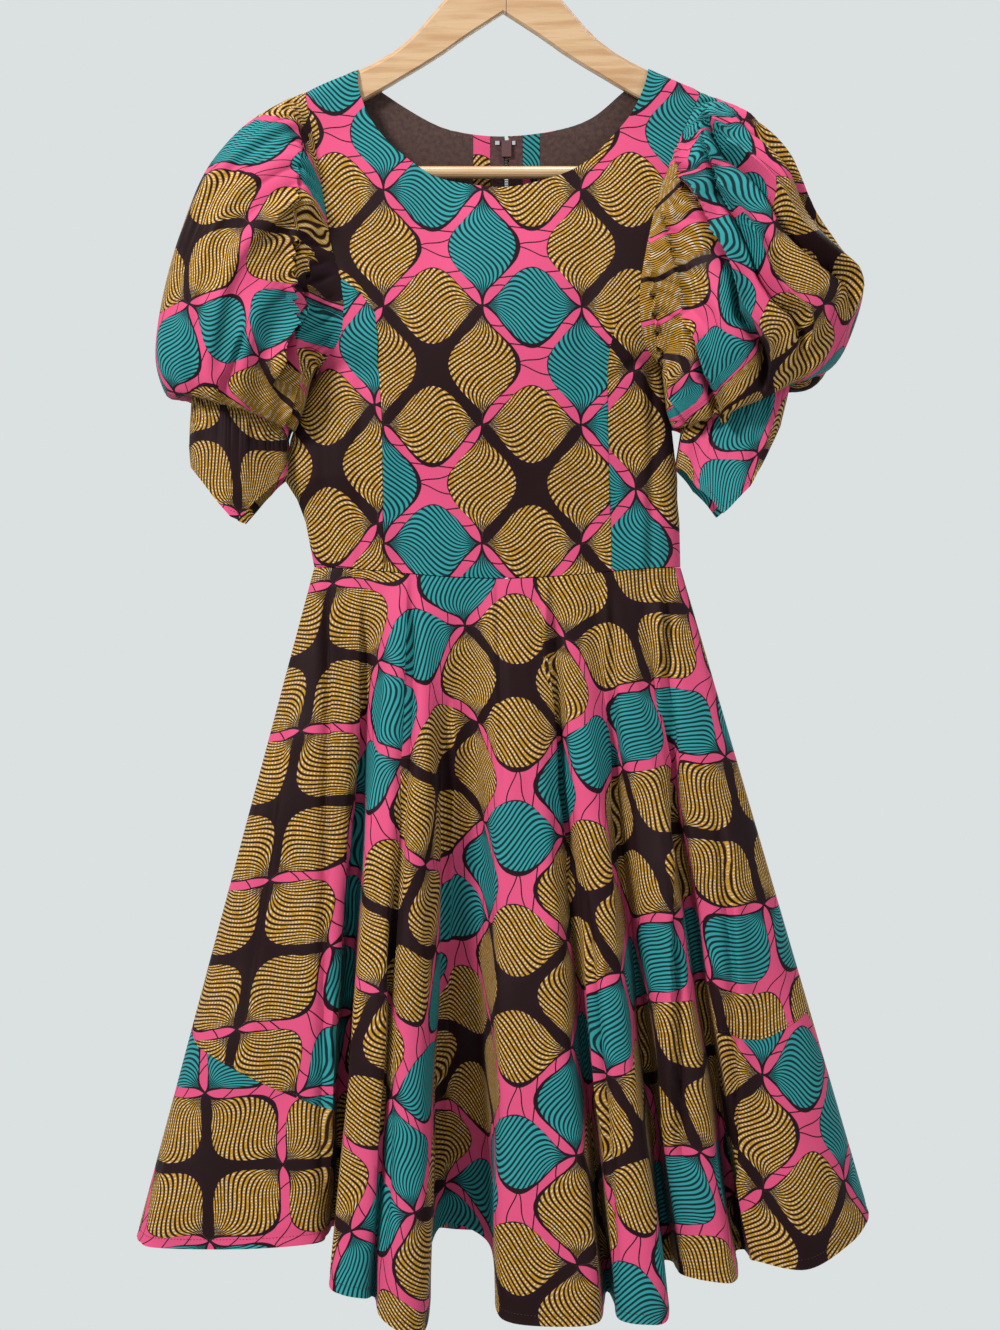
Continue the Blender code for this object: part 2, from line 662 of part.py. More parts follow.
def skirt_grid(side, draw):
    """The whole side of the skirt, its seam row drawn up (-1) or down (1) by half the seam gap."""
    shares, _, _, _ = skirt_columns(side)
    half_gap = draw * SEAM_GAP / 2 / (HEM_RADIUS - WAIST_RADIUS)
    reaches = []
    for k in range(len(shares)):
        seams = [corner_seam(side, hand, k) for hand in ("left", "right")]
        seam = next((value + half_gap for value in seams if value is not None), PLAIN_SEAM_ROW)
        reaches.append([seam if row is None else row for row in SKIRT_ROWS])
    return skirt_wall(side, reaches)


def nudge(grid, row, towards, first_column, amount):
    """Move a seam's points sideways by a length, towards the next row."""
    way = grid[towards, first_column:] - grid[row, first_column:]
    grid[row, first_column:] += way * amount / np.linalg.norm(way, axis=1, keepdims=True)


def skirt_panel(name, side, first, last, material, inset):
    """The skirt's main cloth from one column to another, without the pieced corners."""
    grid, normals = skirt_grid(side, -1)
    ends = {hand: corner_last(side, hand) for hand in ("left", "right")}
    half = SEAM_GAP / 2
    nudge(grid, ends["left"], ends["left"] + 1, SEAM_ROW, half)
    nudge(grid, ends["right"], ends["right"] - 1, SEAM_ROW, half)

    def keep(i, j):
        column = i + first
        return j < SEAM_ROW or ends["left"] <= column < ends["right"]

    return cloth(name, grid[first:last + 1], normals[first:last + 1], material, inset=inset, keep=keep)


def corner_piece(side, hand, material):
    """The pieced corner of cloth between its seam, the side seam and the hem."""
    grid, normals = skirt_grid(side, 1)
    end = corner_last(side, hand)
    half = SEAM_GAP / 2
    if hand == "left":
        nudge(grid, end, end - 1, SEAM_ROW, half)
        rows = np.s_[:end + 1, SEAM_ROW:]
        inset = (half, 0, 0, 0)
    else:
        nudge(grid, end, end + 1, SEAM_ROW, half)
        rows = np.s_[end:, SEAM_ROW:]
        inset = (0, half, 0, 0)
    return cloth(side + "_skirt_corner_" + hand, grid[rows], normals[rows], material, inset=inset)


def back_band(name, left, right, columns, top, bottom, rows, material, lift=LINING_OFFSET, wall=LINING_WALL):
    """A strip inside the back, between two distances from the zip's line and two heights."""
    grid = []
    normals = []
    for x in ZIP_X + np.linspace(left, right, columns):
        heights = np.linspace(top(x), bottom, rows)
        grid.append([bodice_point(x, z, "back") for z in heights])
        normals.append([bodice_normal(x, z, "back") for z in heights])
    return cloth(name, grid, normals, material, lift=lift, wall=wall)


def back_neck_z(x):
    line = smooth_curve(BACK_NECK, 400)
    return float(np.interp(x, line[:, 0], line[:, 1]))


def lining_top(x):
    """The lining starts at the back neck, and past the hanger's arm a little lower."""
    return min(back_neck_z(x) - 0.5, NECK_Z - LINING_DROP)


def zip_pieces(materials):
    """Lining, printed allowances, tapes and chain, edge to edge across the inside of the back."""
    gap = SEAM_GAP
    for hand, sign in (("left", -1), ("right", 1)):
        spans = (
            ("back_lining_", ALLOWANCE_OUTER + gap, NECK_X - 3, 10, LINING_END_Z, 6, "lining"),
            ("zip_allowance_", ZIP_TAPE_OUTER + gap, ALLOWANCE_OUTER, 2, ZIP_END_Z, 10, "print_cloth"),
            ("zip_tape_", ZIP_TAPE_INNER, ZIP_TAPE_OUTER, 2, ZIP_END_Z, 10, "tape"),
        )
        for name, near, far, columns, bottom, rows, finish in spans:
            ends = sorted((sign * near, sign * far))
            back_band(name + hand, ends[0], ends[1], columns, lining_top, bottom, rows, materials[finish])
    back_band("zip_chain", -CHAIN_HALF, CHAIN_HALF, 2, lambda x: SLIDER_Z - 9.0, ZIP_END_Z, 10,
              materials["tape"], wall=CHAIN_DEPTH)


def slider_frame():
    """Origin on the back's outer surface, its outward direction and its downward direction."""
    origin = bodice_point(ZIP_X, SLIDER_Z, "back")
    out = bodice_normal(ZIP_X, SLIDER_Z, "back")
    out = np.array([0.0, out[1], out[2]]) / np.linalg.norm(out[1:])
    down = np.array([0.0, out[2], -out[1]])
    return origin, out, down


def add_box(work, across, out, down):
    """A box in the slider's frame, between two values each way."""
    origin, out_way, down_way = slider_frame()
    corners = {}
    for a in (0, 1):
        for b in (0, 1):
            for c in (0, 1):
                place = (origin + np.array([across[a], 0.0, 0.0]) + out_way * out[b] + down_way * down[c])
                corners[a, b, c] = work.verts.new(place)
    for axis in range(3):
        for value in (0, 1):
            ring = []
            for u, v in ((0, 0), (0, 1), (1, 1), (1, 0)):
                key = [u, v]
                key.insert(axis, value)
                ring.append(corners[tuple(key)])
            work.faces.new(ring)


def turn_loop(work, x, radius):
    """A circle of points about the tab's axis, at a distance across from the slider's middle."""
    origin, out_way, down_way = slider_frame()
    loop = []
    for k in range(ROUND_SIDES):
        turn = 2 * math.pi * k / ROUND_SIDES
        place = (origin + np.array([x, 0.0, 0.0]) + out_way * (TAB_AXIS_OUT + radius * math.sin(turn))
                 + down_way * radius * math.cos(turn))
        loop.append(work.verts.new(place))
    return loop


def join_loops(work, one, other):
    for k in range(len(one)):
        after = (k + 1) % len(one)
        work.faces.new((one[k], one[after], other[after], other[k]))


def add_pin(work):
    """The round bar that the pull tab hangs on."""
    ends = [turn_loop(work, x, PIN_RADIUS) for x in (-PIN_HALF, PIN_HALF)]
    join_loops(work, *ends)
    for loop in ends:
        work.faces.new(loop)


def add_ring(work):
    """The pull tab's ring, with a hole for the bar."""
    loops = [turn_loop(work, x, radius) for x, radius in (
        (-RING_HALF, RING_RADIUS), (RING_HALF, RING_RADIUS), (RING_HALF, RING_BORE), (-RING_HALF, RING_BORE))]
    for one, other in zip(loops, loops[1:] + loops[:1]):
        join_loops(work, one, other)


def fused(name, shapes, material):
    """One body from shapes that overlap each other."""
    parts = [mesh(name + "_part", shape, material, smooth=False) for shape in shapes]
    base = parts[0]
    for other in parts[1:]:
        union = base.modifiers.new("Union", "BOOLEAN")
        union.operation = "UNION"
        union.object = other
        other.hide_render = True
        other.display_type = "WIRE"
    base.name = name
    return base


def box_shapes(boxes):
    return [lambda work, box=box: add_box(work, *box) for box in boxes.values()]


def zip_hardware(materials):
    """The slider with its bridge, the pull tab that swings on it, and the hook and eye."""
    steel = materials["steel"]
    fused("zip_slider", box_shapes(SLIDER_BOXES) + [add_pin], steel)
    fused("zip_pull_tab", [add_ring] + box_shapes(TAB_BOXES), steel)
    for name, shape in zip(FASTENING_BOXES, box_shapes(FASTENING_BOXES)):
        mesh(name, shape, steel, smooth=False)


def hanger(materials):
    """A flat wooden hanger: two arms in one body, a round bar between their ends, a steel hook."""
    half = HANGER_DEPTH / 2
    rows = [(-x, top, bottom) for x, top, bottom in HANGER_ROWS[:0:-1]] + list(HANGER_ROWS)

    def wood(work):
        loops = []
        for x, top, bottom in rows:
            section = [(-HANGER_CREST, top), (-half, top - HANGER_CHAMFER), (-half, bottom + HANGER_EASE),
                       (-half + HANGER_EASE, bottom), (half - HANGER_EASE, bottom),
                       (half, bottom + HANGER_EASE), (half, top - HANGER_CHAMFER), (HANGER_CREST, top)]
            loops.append([work.verts.new((x, y, z)) for y, z in section])
        for one, other in zip(loops, loops[1:]):
            join_loops(work, one, other)
        work.faces.new(loops[0])
        work.faces.new(loops[-1])

    mesh("hanger_body", wood, materials["wood"])

    def bar(work):
        reach = HANGER_ROWS[BAR_END_ROW][0] - SEAM_GAP
        radius = BAR_DIAMETER / 2
        turns = [2 * math.pi * k / ROUND_SIDES for k in range(ROUND_SIDES)]
        ends = [[work.verts.new((x, radius * math.cos(t), BAR_Z + radius * math.sin(t))) for t in turns]
                for x in (-reach, reach)]
        join_loops(work, *ends)
        for loop in ends:
            work.faces.new(loop)

    mesh("hanger_bar", bar, materials["wood"])
    wire_hook(materials["steel"])


def wire_hook(material):
    """The hook: a straight stem from the wood, then an arc whose inner top is the origin."""
    radius = HOOK_INNER_RADIUS + HOOK_WIRE / 2
    path = [(0.0, HANGER_TOP_Z + SEAM_GAP), (0.0, HANGER_TOP_Z + 8), (1.2, HANGER_TOP_Z + 14), (5.0, HANGER_TOP_Z + 19.5)]
    for degrees in range(-60, 226, 15):
        turn = math.radians(degrees)
        path.append((radius * math.cos(turn), -HOOK_INNER_RADIUS + radius * math.sin(turn)))
    line = bpy.data.curves.new("hanger_hook", "CURVE")
    line.dimensions = "3D"
    line.bevel_depth = HOOK_WIRE / 2 * MM
    line.bevel_resolution = 2
    line.use_fill_caps = True
    spline = line.splines.new("POLY")
    spline.points.add(len(path) - 1)
    for point, (x, z) in zip(spline.points, path):
        point.co = (x * MM, 0.0, z * MM, 1.0)
    line.materials.append(material)
    obj = bpy.data.objects.new("hanger_hook", line)
    bpy.context.scene.collection.objects.link(obj)


def finish(name, colour, roughness, metallic=0.0):
    made = bpy.data.materials.new(name)
    made.use_nodes = True
    shader = made.node_tree.nodes["Principled BSDF"]
    shader.inputs["Base Color"].default_value = (*colour, 1.0)
    shader.inputs["Roughness"].default_value = roughness
    shader.inputs["Metallic"].default_value = metallic
    made.diffuse_color = (*colour, 1.0)
    return made


def main():
    for old in list(bpy.data.objects):
        bpy.data.objects.remove(old)
    materials = {
        "print_cloth": finish("print_cloth", (0.45, 0.20, 0.16), 0.8),
        "lining": finish("lining", (0.09, 0.045, 0.038), 0.75),
        "tape": finish("tape", (0.12, 0.055, 0.05), 0.8),
        "wood": finish("wood", (0.72, 0.46, 0.24), 0.45),
        "steel": finish("steel", (0.62, 0.62, 0.6), 0.3, 1.0),
    }
    print_cloth = materials["print_cloth"]
    half = SEAM_GAP / 2
    front_center_panel(print_cloth)
    for hand in ("left", "right"):
        front_side_panel(hand, print_cloth)
        back_bodice(hand, print_cloth)
        sleeve(hand, print_cloth)
        corner_piece("front", hand, print_cloth)
        corner_piece("back", hand, print_cloth)
    back_columns = skirt_columns("back")[2]
    middle = int(np.argmin(np.abs(back_columns[:, 0] - ZIP_X)))
    last_front = len(skirt_columns("front")[0]) - 1
    skirt_panel("front_skirt", "front", 0, last_front, print_cloth, (half, half, 0, 0))
    skirt_panel("back_skirt_left", "back", 0, middle, print_cloth, (half, half, 0, 0))
    skirt_panel("back_skirt_right", "back", middle, len(back_columns) - 1, print_cloth, (half, half, 0, 0))
    zip_pieces(materials)
    zip_hardware(materials)
    hanger(materials)


main()
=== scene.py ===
"""Looks of the wax print dress on its wooden hanger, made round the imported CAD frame.

Shapes are worked out in millimetres, as in the part's source, and put into meshes in metres.
-Y is the front and +Z is up; left and right are the viewer's. The print is drawn by a node group
from each piece's own UV, which is its place on the flat cloth in metres.
"""
import math

import bpy
import numpy as np
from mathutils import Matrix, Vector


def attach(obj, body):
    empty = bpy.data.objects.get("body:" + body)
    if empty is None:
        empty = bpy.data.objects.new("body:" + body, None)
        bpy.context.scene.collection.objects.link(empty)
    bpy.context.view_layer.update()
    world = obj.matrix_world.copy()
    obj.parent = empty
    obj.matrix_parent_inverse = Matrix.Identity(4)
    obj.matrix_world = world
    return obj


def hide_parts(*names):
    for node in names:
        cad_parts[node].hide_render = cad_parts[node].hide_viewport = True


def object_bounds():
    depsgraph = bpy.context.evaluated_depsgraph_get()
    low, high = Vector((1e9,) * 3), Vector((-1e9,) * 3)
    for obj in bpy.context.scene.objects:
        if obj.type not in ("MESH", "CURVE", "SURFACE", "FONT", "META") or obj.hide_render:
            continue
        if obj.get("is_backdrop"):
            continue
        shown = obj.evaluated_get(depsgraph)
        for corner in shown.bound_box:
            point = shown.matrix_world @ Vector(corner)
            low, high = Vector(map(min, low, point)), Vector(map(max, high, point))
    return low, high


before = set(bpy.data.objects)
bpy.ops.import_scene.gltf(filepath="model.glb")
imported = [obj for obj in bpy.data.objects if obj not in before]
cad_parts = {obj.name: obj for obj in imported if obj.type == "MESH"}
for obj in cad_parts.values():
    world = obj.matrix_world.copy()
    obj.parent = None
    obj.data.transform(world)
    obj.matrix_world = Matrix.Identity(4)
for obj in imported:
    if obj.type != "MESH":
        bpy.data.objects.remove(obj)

bl_info = {
    "name": "Wax Print Dress",
    "version": (1, 0, 0),
    "blender": (4, 5, 0),
    "location": "View3D > Sidebar > Dress",
    "description": "Printed cloth, lining, zip, stitching, hanger finish and stage for a hanging dress",
    "category": "Object",
}

MM = 0.001

# Cloth and seams
LINING_OFFSET = 2.1
LINING_WALL = 0.8
WAIST_GAP = 0.6
NECK_X = 135.0
NECK_Z = -152.5
SHOULDER_SLOPE = 0.449
SHOULDER_DEPTH = 10.0
SKIRT_LENGTH = 674.0
SEAM_GAP = 0.3
HALF_GAP = SEAM_GAP / 2
SEAM_DIP_WIDTH = 3.5
EDGE_FADE = 8.0

# Lengths of the soft waves in the cloth
BODICE_WAVE = 95.0
SLEEVE_WAVE = 80.0
SKIRT_WAVE = 150.0
LINING_WAVE = 60.0

# How the bodice's inner lines face its outer ones, as lengths along the neck and the centre back
NECK_CORNER = 16
NECK_AT_SEAMS = (92, 155)
NECK_FACES_ARM = 84
UNDERARM_FACES_ZIP = 205

# Seeds of what is uneven: gathers of each sleeve, waves of the skirt and the lining, and the threads
SEEDS = {"left": 11, "right": 23, "front": 31, "back": 47, "hem": 61, "lining": 71, "thread": 7}

# Cloth that one edge of a sharp fold lies over the other
SLEEVE_LAP = 3.0
SKIRT_LAP = 4.0

# Share of a display colour that a surface reflects, so that the stage's light brings it back
REFLECTED = 0.47

# Display colours from 0 to 255, the two tones that each finish drifts between
TONES = {
    "teal": ((10, 48, 54), (56, 172, 174)),
    "gold": ((40, 17, 9), (214, 158, 44)),
    "lining": ((92, 64, 56), (70, 48, 43)),
    "tape": ((104, 66, 66), (82, 50, 52)),
    "thread": ((128, 84, 84), (90, 56, 58)),
    "dark_thread": ((60, 38, 40), (34, 20, 24)),
    "zip": ((112, 66, 68), (92, 50, 54)),
    "wood": ((232, 192, 146), (206, 156, 104)),
}
CREAM = (252, 243, 222)
DARK_GROUND = (36, 12, 14)
OUTLINE = (38, 12, 24)
WOOD_PORE = (170, 118, 72)
WOOD_JOINT = (96, 60, 36)
STEEL = ((0.78, 0.78, 0.79), (0.66, 0.66, 0.67))
FLOOR = ((0.30, 0.312, 0.32), (0.34, 0.352, 0.36))
WORN = (0.02, 0.012, 0.014)

# Bulbs of the print in mm: half width, tip and roundness, the dark cell's half width, roundness and shift,
# how many stripes lie across it and how many their lean adds
BULBS = {
    "upright": (31.0, 46.0, 1.55, 33.8, 2.5, 1.7, 5.0, 6.2),
    "level": (35.0, 41.0, 1.45, 37.6, 1.9, 1.6, 6.6, 4.6),
}

# How far the print's lines drift and fray, and where a bulb lies in its cell, in mm
WOBBLE = 3.0
RAGGED = 0.5
BULB_OFFSET = (0.8, 1.2)

# Lights in metres: place, what it points at, power in watts and size
LIGHTS = {
    "key_light": ((-2.3, -2.3, 1.4), (0.0, 0.0, -0.6), 205.0, 0.8),
    "fill_light": ((2.4, -2.2, 0.2), (0.0, 0.0, -0.7), 26.0, 1.6),
    "top_light": ((0.2, -0.6, 1.9), (0.0, 0.0, -0.5), 34.0, 1.0),
    "back_light": ((0.6, 2.6, 0.8), (0.0, 0.0, -0.6), 60.0, 2.0),
}

# Colour of the studio's walls, the floor in metres and the camera's sensor
STUDIO = (0.71, 0.745, 0.755, 1.0)
FLOOR_SIZE = 2.4
FLOOR_BELOW = 0.5
SENSOR_MM = 36.0

# Zip, with the centre-back line at ZIP_X
ZIP_X = 3.0
ZIP_GAP = 3.0
ZIP_TAPE_INNER = 2.5
ZIP_TAPE_OUTER = 15.0
ALLOWANCE_OUTER = 31.0
ZIP_END_Z = -606.0
SLIDER_Z = -224.0
LINING_DROP = 13.0
LINING_END_Z = -325.0

# Body of the bodice: height, centre in x, half width, depth to the front and to the back
BODICE_ROWS = np.array([
    # z, centre, half, front, back
    (-150, 0, 400, 10, 10),
    (-215, -2, 330, 14, 13),
    (-280, -5, 262, 23, 19),
    (-350, -9, 215, 33, 25),
    (-400, -11, 186, 37, 28),
    (-434, -12, 160, 37, 29),
    (-460, -16, 170, 36, 29),
    (-498, -20, 178, 33, 28),
    (-534, -21, 183, 30, 27),
    (-553, -15, 177, 29, 26),
    (-574, -10, 174, 28, 25),
    (-620, -5, 170, 27, 24),
    (-640, -5, 170, 27, 24),
], dtype=float)
SIDE_ROUNDING = 2.6

FRONT_NECK = [(-135, -152.5), (-134, -172), (-125, -197), (-110, -219), (-87, -240), (-62, -256),
              (-34, -263), (0, -266), (30, -261), (58, -252), (80, -239), (100, -219), (118, -197),
              (130, -172), (135, -152.5)]
BACK_NECK = [(-135, -152.5), (-111, -174), (-68, -200), (-39, -209.5), (0, -213), (45, -208.5),
             (81, -197), (112, -172), (135, -152.5)]
ARMHOLE = {
    "left": [(-184, -174.5), (-179, -202), (-174, -228), (-166, -275), (-158, -322), (-150, -350),
             (-147, -381), (-152, -409), (-172, -434)],
    "right": [(184, -174.5), (166, -214), (153, -246), (141, -282), (131, -326), (126, -358),
              (126, -386), (132, -414), (148, -434)],
}
PRINCESS = {
    "left": [(-150, -350), (-131, -365), (-117, -386), (-115, -414), (-115, -438), (-112, -470),
             (-111, -535), (-111, -618)],
    "right": [(126, -358), (114, -376), (101, -402), (96, -432), (96, -460), (97, -507),
              (99, -572), (100, -616)],
}
SIDE_SEAM_Z = [-434, -460, -498, -534, -553, -574, -616]
WAIST_Z = -616.0
WAIST_DIP = 11.0
WAIST_CENTRE = -5.0
WAIST_HALF = 170.0
SIDE_STEPS = 6
LOWER_STEPS = 6

# Sleeve rings in x, z: its end on the outline, its end at the underarm, depth and backward bow
SLEEVE_RINGS = {
    "left": [
        # outer x, outer z, inner x, inner z, depth, bow
        (-205, -182, -184, -430, 44, 17),
        (-243, -207, -188, -437, 58, 8),
        (-276, -249, -191, -445, 68, 2),
        (-300, -307, -193, -453, 72, 0),
        (-315, -366, -195, -462, 70, 0),
        (-323, -421, -198, -472, 64, 0),
        (-315, -455, -202, -483, 56, 4),
        (-302, -460, -206, -491, 50, 6),
        (-293, -449, -210, -489, 44, 8),
        (-290, -459, -213, -497, 41, 4),
    ],
    "right": [
        (205, -182, 160, -430, 44, 17),
        (238, -203, 160, -437, 58, 8),
        (265, -236, 161, -445, 68, 2),
        (283, -283, 162, -454, 72, 0),
        (312, -320, 163, -463, 72, 0),
        (334, -354, 164, -472, 66, 0),
        (318, -410, 167, -481, 56, -8),
        (298, -435, 171, -488, 47, -3),
        (282, -426, 175, -479, 40, 2),
        (269, -438, 179, -488, 33, -2),
    ],
}
TIER_HEM = {
    "left": [(-291, -508), (-289, -524), (-276, -539), (-264, -555), (-250, -571), (-243, -574),
             (-233, -563), (-220, -547), (-212, -532)],
    "right": [(256, -487), (246, -506), (237, -524), (226, -543), (208, -562), (201, -568),
              (192, -556), (181, -544), (173, -524)],
}
TIER_DEPTH = 42.0
SLEEVE_ROUNDING = 0.8
SLEEVE_FOLDS = {
    "front": [(0.17, 7, 0.055), (0.31, 9, 0.06), (0.46, 8, 0.055), (0.62, 8, 0.06), (0.78, 6, 0.05)],
    "back": [(0.15, 6, 0.06), (0.30, 8, 0.06), (0.47, 8, 0.06), (0.65, 7, 0.06), (0.80, 5, 0.05)],
}

# Folds that stand out of each puff: place round it at the armhole and at the lower edge (0 crest, 1
# underarm in front, -1 underarm behind), how far down it reaches, height and width
SLEEVE_PLEATS = {
    "left": [
        # start, end, reach, height, width
        (0.22, 0.12, 0.5, 3, 0.05), (0.45, 0.40, 0.6, 3, 0.06),
        (-0.25, -0.2, 0.6, 5, 0.06), (-0.5, -0.5, 0.7, 6, 0.06), (-0.78, -0.8, 0.8, 6, 0.05),
    ],
    "right": [
        (-0.2, -0.25, 0.8, 7, 0.05), (-0.42, -0.45, 0.8, 7, 0.05), (-0.65, -0.7, 0.8, 6, 0.05),
        (-0.84, -0.87, 0.8, 5, 0.035),
    ],
}

# The hollow beside each pleat's ridge: depth, distance and width as shares of the ridge
PLEAT_HOLLOW = (0.9, 1.5, 0.55)

# Gathers, with lengths as shares of the way round or down the sleeve
GATHER_SHIFT = 0.35
GATHER_REACH = (0.12, 0.5)
GATHER_SHARE = (0.4, 1.0)
GATHER_DRIFT = 0.05
GATHER_WIDTH = (0.007, 0.014)
TIER_GATHER_SHARE = 0.5

# Hems from the left side seam to the right one, one row for each edge of a fold: x, y, z
FRONT_HEM = [
    (-341, 0, -1238), (-336, -16, -1240), (-318, -34, -1242), (-240, -50, -1240), (-172, -54, -1234),
    (-162, -32, -1231), (-160, -14, -1230), (-159, 5, -1230), (-149, 5, -1232), (-151, -40, -1246),
    (-157, -78, -1266), (-145, -92, -1272), (-124, -90, -1276), (-117, -66, -1280), (-111, -90, -1292),
    (-92, -102, -1303), (-72, -92, -1306), (-66, -55, -1285), (-66, -4, -1244), (-50, 10, -1228),
    (-16, 10, -1244), (-8, -30, -1268), (-6, -74, -1290), (8, -90, -1298), (50, -96, -1300),
    (84, -90, -1298), (92, -50, -1290), (96, -18, -1286), (101, -46, -1290), (104, -84, -1296),
    (126, -96, -1298), (148, -86, -1296), (149, -45, -1272), (149, 0, -1262), (157, 0, -1262),
    (159, -34, -1261), (163, -62, -1261), (186, -74, -1264), (210, -68, -1266), (215, -34, -1258),
    (216, 0, -1252), (223, 0, -1250), (225, -15, -1250), (226, -30, -1250), (230, -52, -1250),
    (276, -62, -1256), (318, -42, -1236), (336, -18, -1222), (340, 0, -1216),
]
BACK_HEM = [
    (-341, 0, -1238), (-335, 18, -1234), (-314, 40, -1228), (-282, 56, -1224), (-256, 42, -1220),
    (-251, 23, -1217), (-247, 4, -1214), (-240, 42, -1222), (-222, 76, -1230), (-188, 84, -1236),
    (-162, 66, -1234), (-154, 22, -1226), (-146, 66, -1236), (-128, 92, -1244), (-94, 96, -1248),
    (-66, 76, -1246), (-58, 28, -1236), (-48, 72, -1246), (-30, 88, -1250), (3, 92, -1252),
    (36, 88, -1250), (54, 72, -1246), (62, 28, -1236), (70, 74, -1246), (96, 96, -1248),
    (132, 92, -1244), (152, 68, -1238), (158, 24, -1228), (166, 66, -1236), (192, 84, -1238),
    (226, 76, -1234), (244, 44, -1226), (250, 6, -1216), (255, 24, -1219), (260, 42, -1222),
    (286, 54, -1226), (316, 38, -1222), (335, 18, -1220), (340, 0, -1216),
]
CORNERS = {
    "front_left": {"at_side": 0.687, "at_edge": 0.80, "at_end": 0.82, "edge": 191, "end": 234},
    "front_right": {"at_side": 0.68, "at_edge": 0.675, "at_end": 0.675, "edge": 150, "end": 190},
    "back_left": {"at_side": 0.687, "at_edge": 0.76, "at_end": 0.78, "edge": 116, "end": 137},
    "back_right": {"at_side": 0.68, "at_edge": 0.74, "at_end": 0.76, "edge": 110, "end": 129},
}
PLAIN_SEAM_ROW = 0.69
HEM_STITCH_UP = 9.0
SLEEVE_STITCH_UP = 6.0
SEAM_STITCH_UP = 2.5
THREAD_LIFT = 0.15
NECK_STITCH_DOWN = 3.5
NECK_STITCH_FROM_ZIP = 4
NECK_STITCH_END = 112

# One coil of the zip in metres, and how far below the slider the coils start, in mm
COIL = {"Length": 0.0013, "Depth": 0.0019, "Width": 0.0042}
COIL_START = 9.0

# Sharp folds of the skirt's front: points in x, z, height and width in mm, and the side that it falls to
SKIRT_CREASES = [
    ([(-159, -646), (-157, -739), (-159, -860), (-160, -1111), (-159, -1190)], 6, 11, -1),
    ([(-133, -664), (-137, -780), (-141, -858), (-150, -912), (-154, -985)], 4, 9, 1),
    ([(-89, -650), (-90, -730), (-93, -806), (-99, -870), (-107, -981), (-114, -1232)], 5, 10, 1),
    ([(-47, -761), (-50, -879), (-54, -981), (-58, -1186)], 6, 10, -1),
    ([(40, -650), (45, -826), (74, -977), (87, -1108), (90, -1265)], 7, 12, 1),
    ([(96, -655), (97, -814), (101, -930)], 4, 9, 1),
    ([(145, -646), (150, -832), (154, -1018), (157, -1160)], 7, 11, 1),
    ([(205, -860), (214, -980), (218, -1250)], 6, 11, -1),
    ([(-10, -640), (-8, -720), (-4, -800)], 2, 9, 1),
    ([(-196, -760), (-214, -900), (-232, -1040)], 2, 12, -1),
]

# Creases of the bodice's front: points in x, z, half width and depth in mm (negative stands proud)
FRONT_CREASES = [
    ([(137, -440), (139, -500), (137, -560), (136, -625)], 5.0, 3.5),
    ([(128, -440), (130, -520), (127, -620)], 7.0, -2.0),
    ([(-165, -470), (-166, -540), (-160, -620)], 5.0, 2.2),
    ([(-131, -420), (-132, -520), (-131, -620)], 6.0, 2.0),
    ([(-104, -330), (-92, -430), (-90, -540), (-92, -620)], 12.0, 1.6),
    ([(78, -330), (74, -430), (76, -540), (78, -620)], 12.0, 1.8),
    ([(-20, -300), (-14, -420), (-18, -620)], 26.0, -1.4),
    ([(-150, -352), (-126, -388), (-118, -420)], 9.0, -2.0),
    ([(-168, -432), (-140, -428), (-118, -450)], 5.0, 1.8),
    ([(146, -434), (122, -428), (100, -444)], 5.0, 1.8),
    ([(-150, -300), (-120, -310), (-88, -300)], 12.0, 1.2),
]

# Sharp folds on the front of each puff: points in x, z, height, cloth hidden in it and width in mm
SLEEVE_CREASES = {
    "left": [
        ([(-189, -286), (-191, -321), (-186, -358), (-192, -395), (-203, -432), (-209, -446)],
         14, 12, 12),
        ([(-183, -237), (-188, -284), (-212, -312)], 4, 5, 12),
        ([(-176, -330), (-180, -380), (-190, -440), (-200, -480)], 10, 6, 6),
        ([(-236, -404), (-252, -440), (-262, -462)], 3, 6, 9),
    ],
    "right": [
        ([(208, -186), (233, -213), (275, -269), (290, -298)], 6, 8, 9),
        ([(183, -198), (202, -232), (245, -277), (287, -326), (323, -360)], 12, 18, 12),
        ([(180, -219), (197, -268), (220, -313), (251, -372), (276, -403)], 12, 16, 10),
        ([(151, -216), (166, -263), (189, -311), (216, -382), (243, -439)], 13, 18, 10),
        ([(144, -287), (159, -335), (166, -392), (184, -442), (200, -480)], 11, 16, 8),
        ([(133, -311), (138, -365), (143, -412), (156, -461), (172, -484)], 8, 12, 6),
    ],
}

# Where the print lies on each piece: a place in x, z, the print's column and row there, and its turn in
# degrees as seen from outside
PRINT_PLACE = {
    "front_center_panel": (-18.6, -324.6, 0, 0, 0),
    "front_side_panel_left": (-160, -523.6, -1, 2, 0),
    "front_side_panel_right": (121.8, -492, 0, 4, 0),
    "back_bodice_left": (70, -330, 0, 0, 0),
    "back_bodice_right": (-80, -330, 1, 3, 0),
    "sleeve_left": (-228.8, -306.9, 0, 3, 21),
    "sleeve_right": (195.2, -337.6, 0, 1, -25),
    "front_skirt": (9.95, -867.4, 0, 0, -90),
    "back_skirt_left": (80, -850, 0, 0, -90),
    "back_skirt_right": (-80, -850, 1, 3, -90),
    "front_skirt_corner_left": (-269.7, -1166, -1, 2, 42),
    "front_skirt_corner_right": (238, -1133.7, 0, 2, 0),
    "back_skirt_corner_left": (280, -1150, 0, 2, 45),
    "back_skirt_corner_right": (-280, -1150, 1, 1, -45),
    "zip_allowance_left": (-21, -199, -1, 0, 0),
    "zip_allowance_right": (26, -190, 0, 0, 0),
}


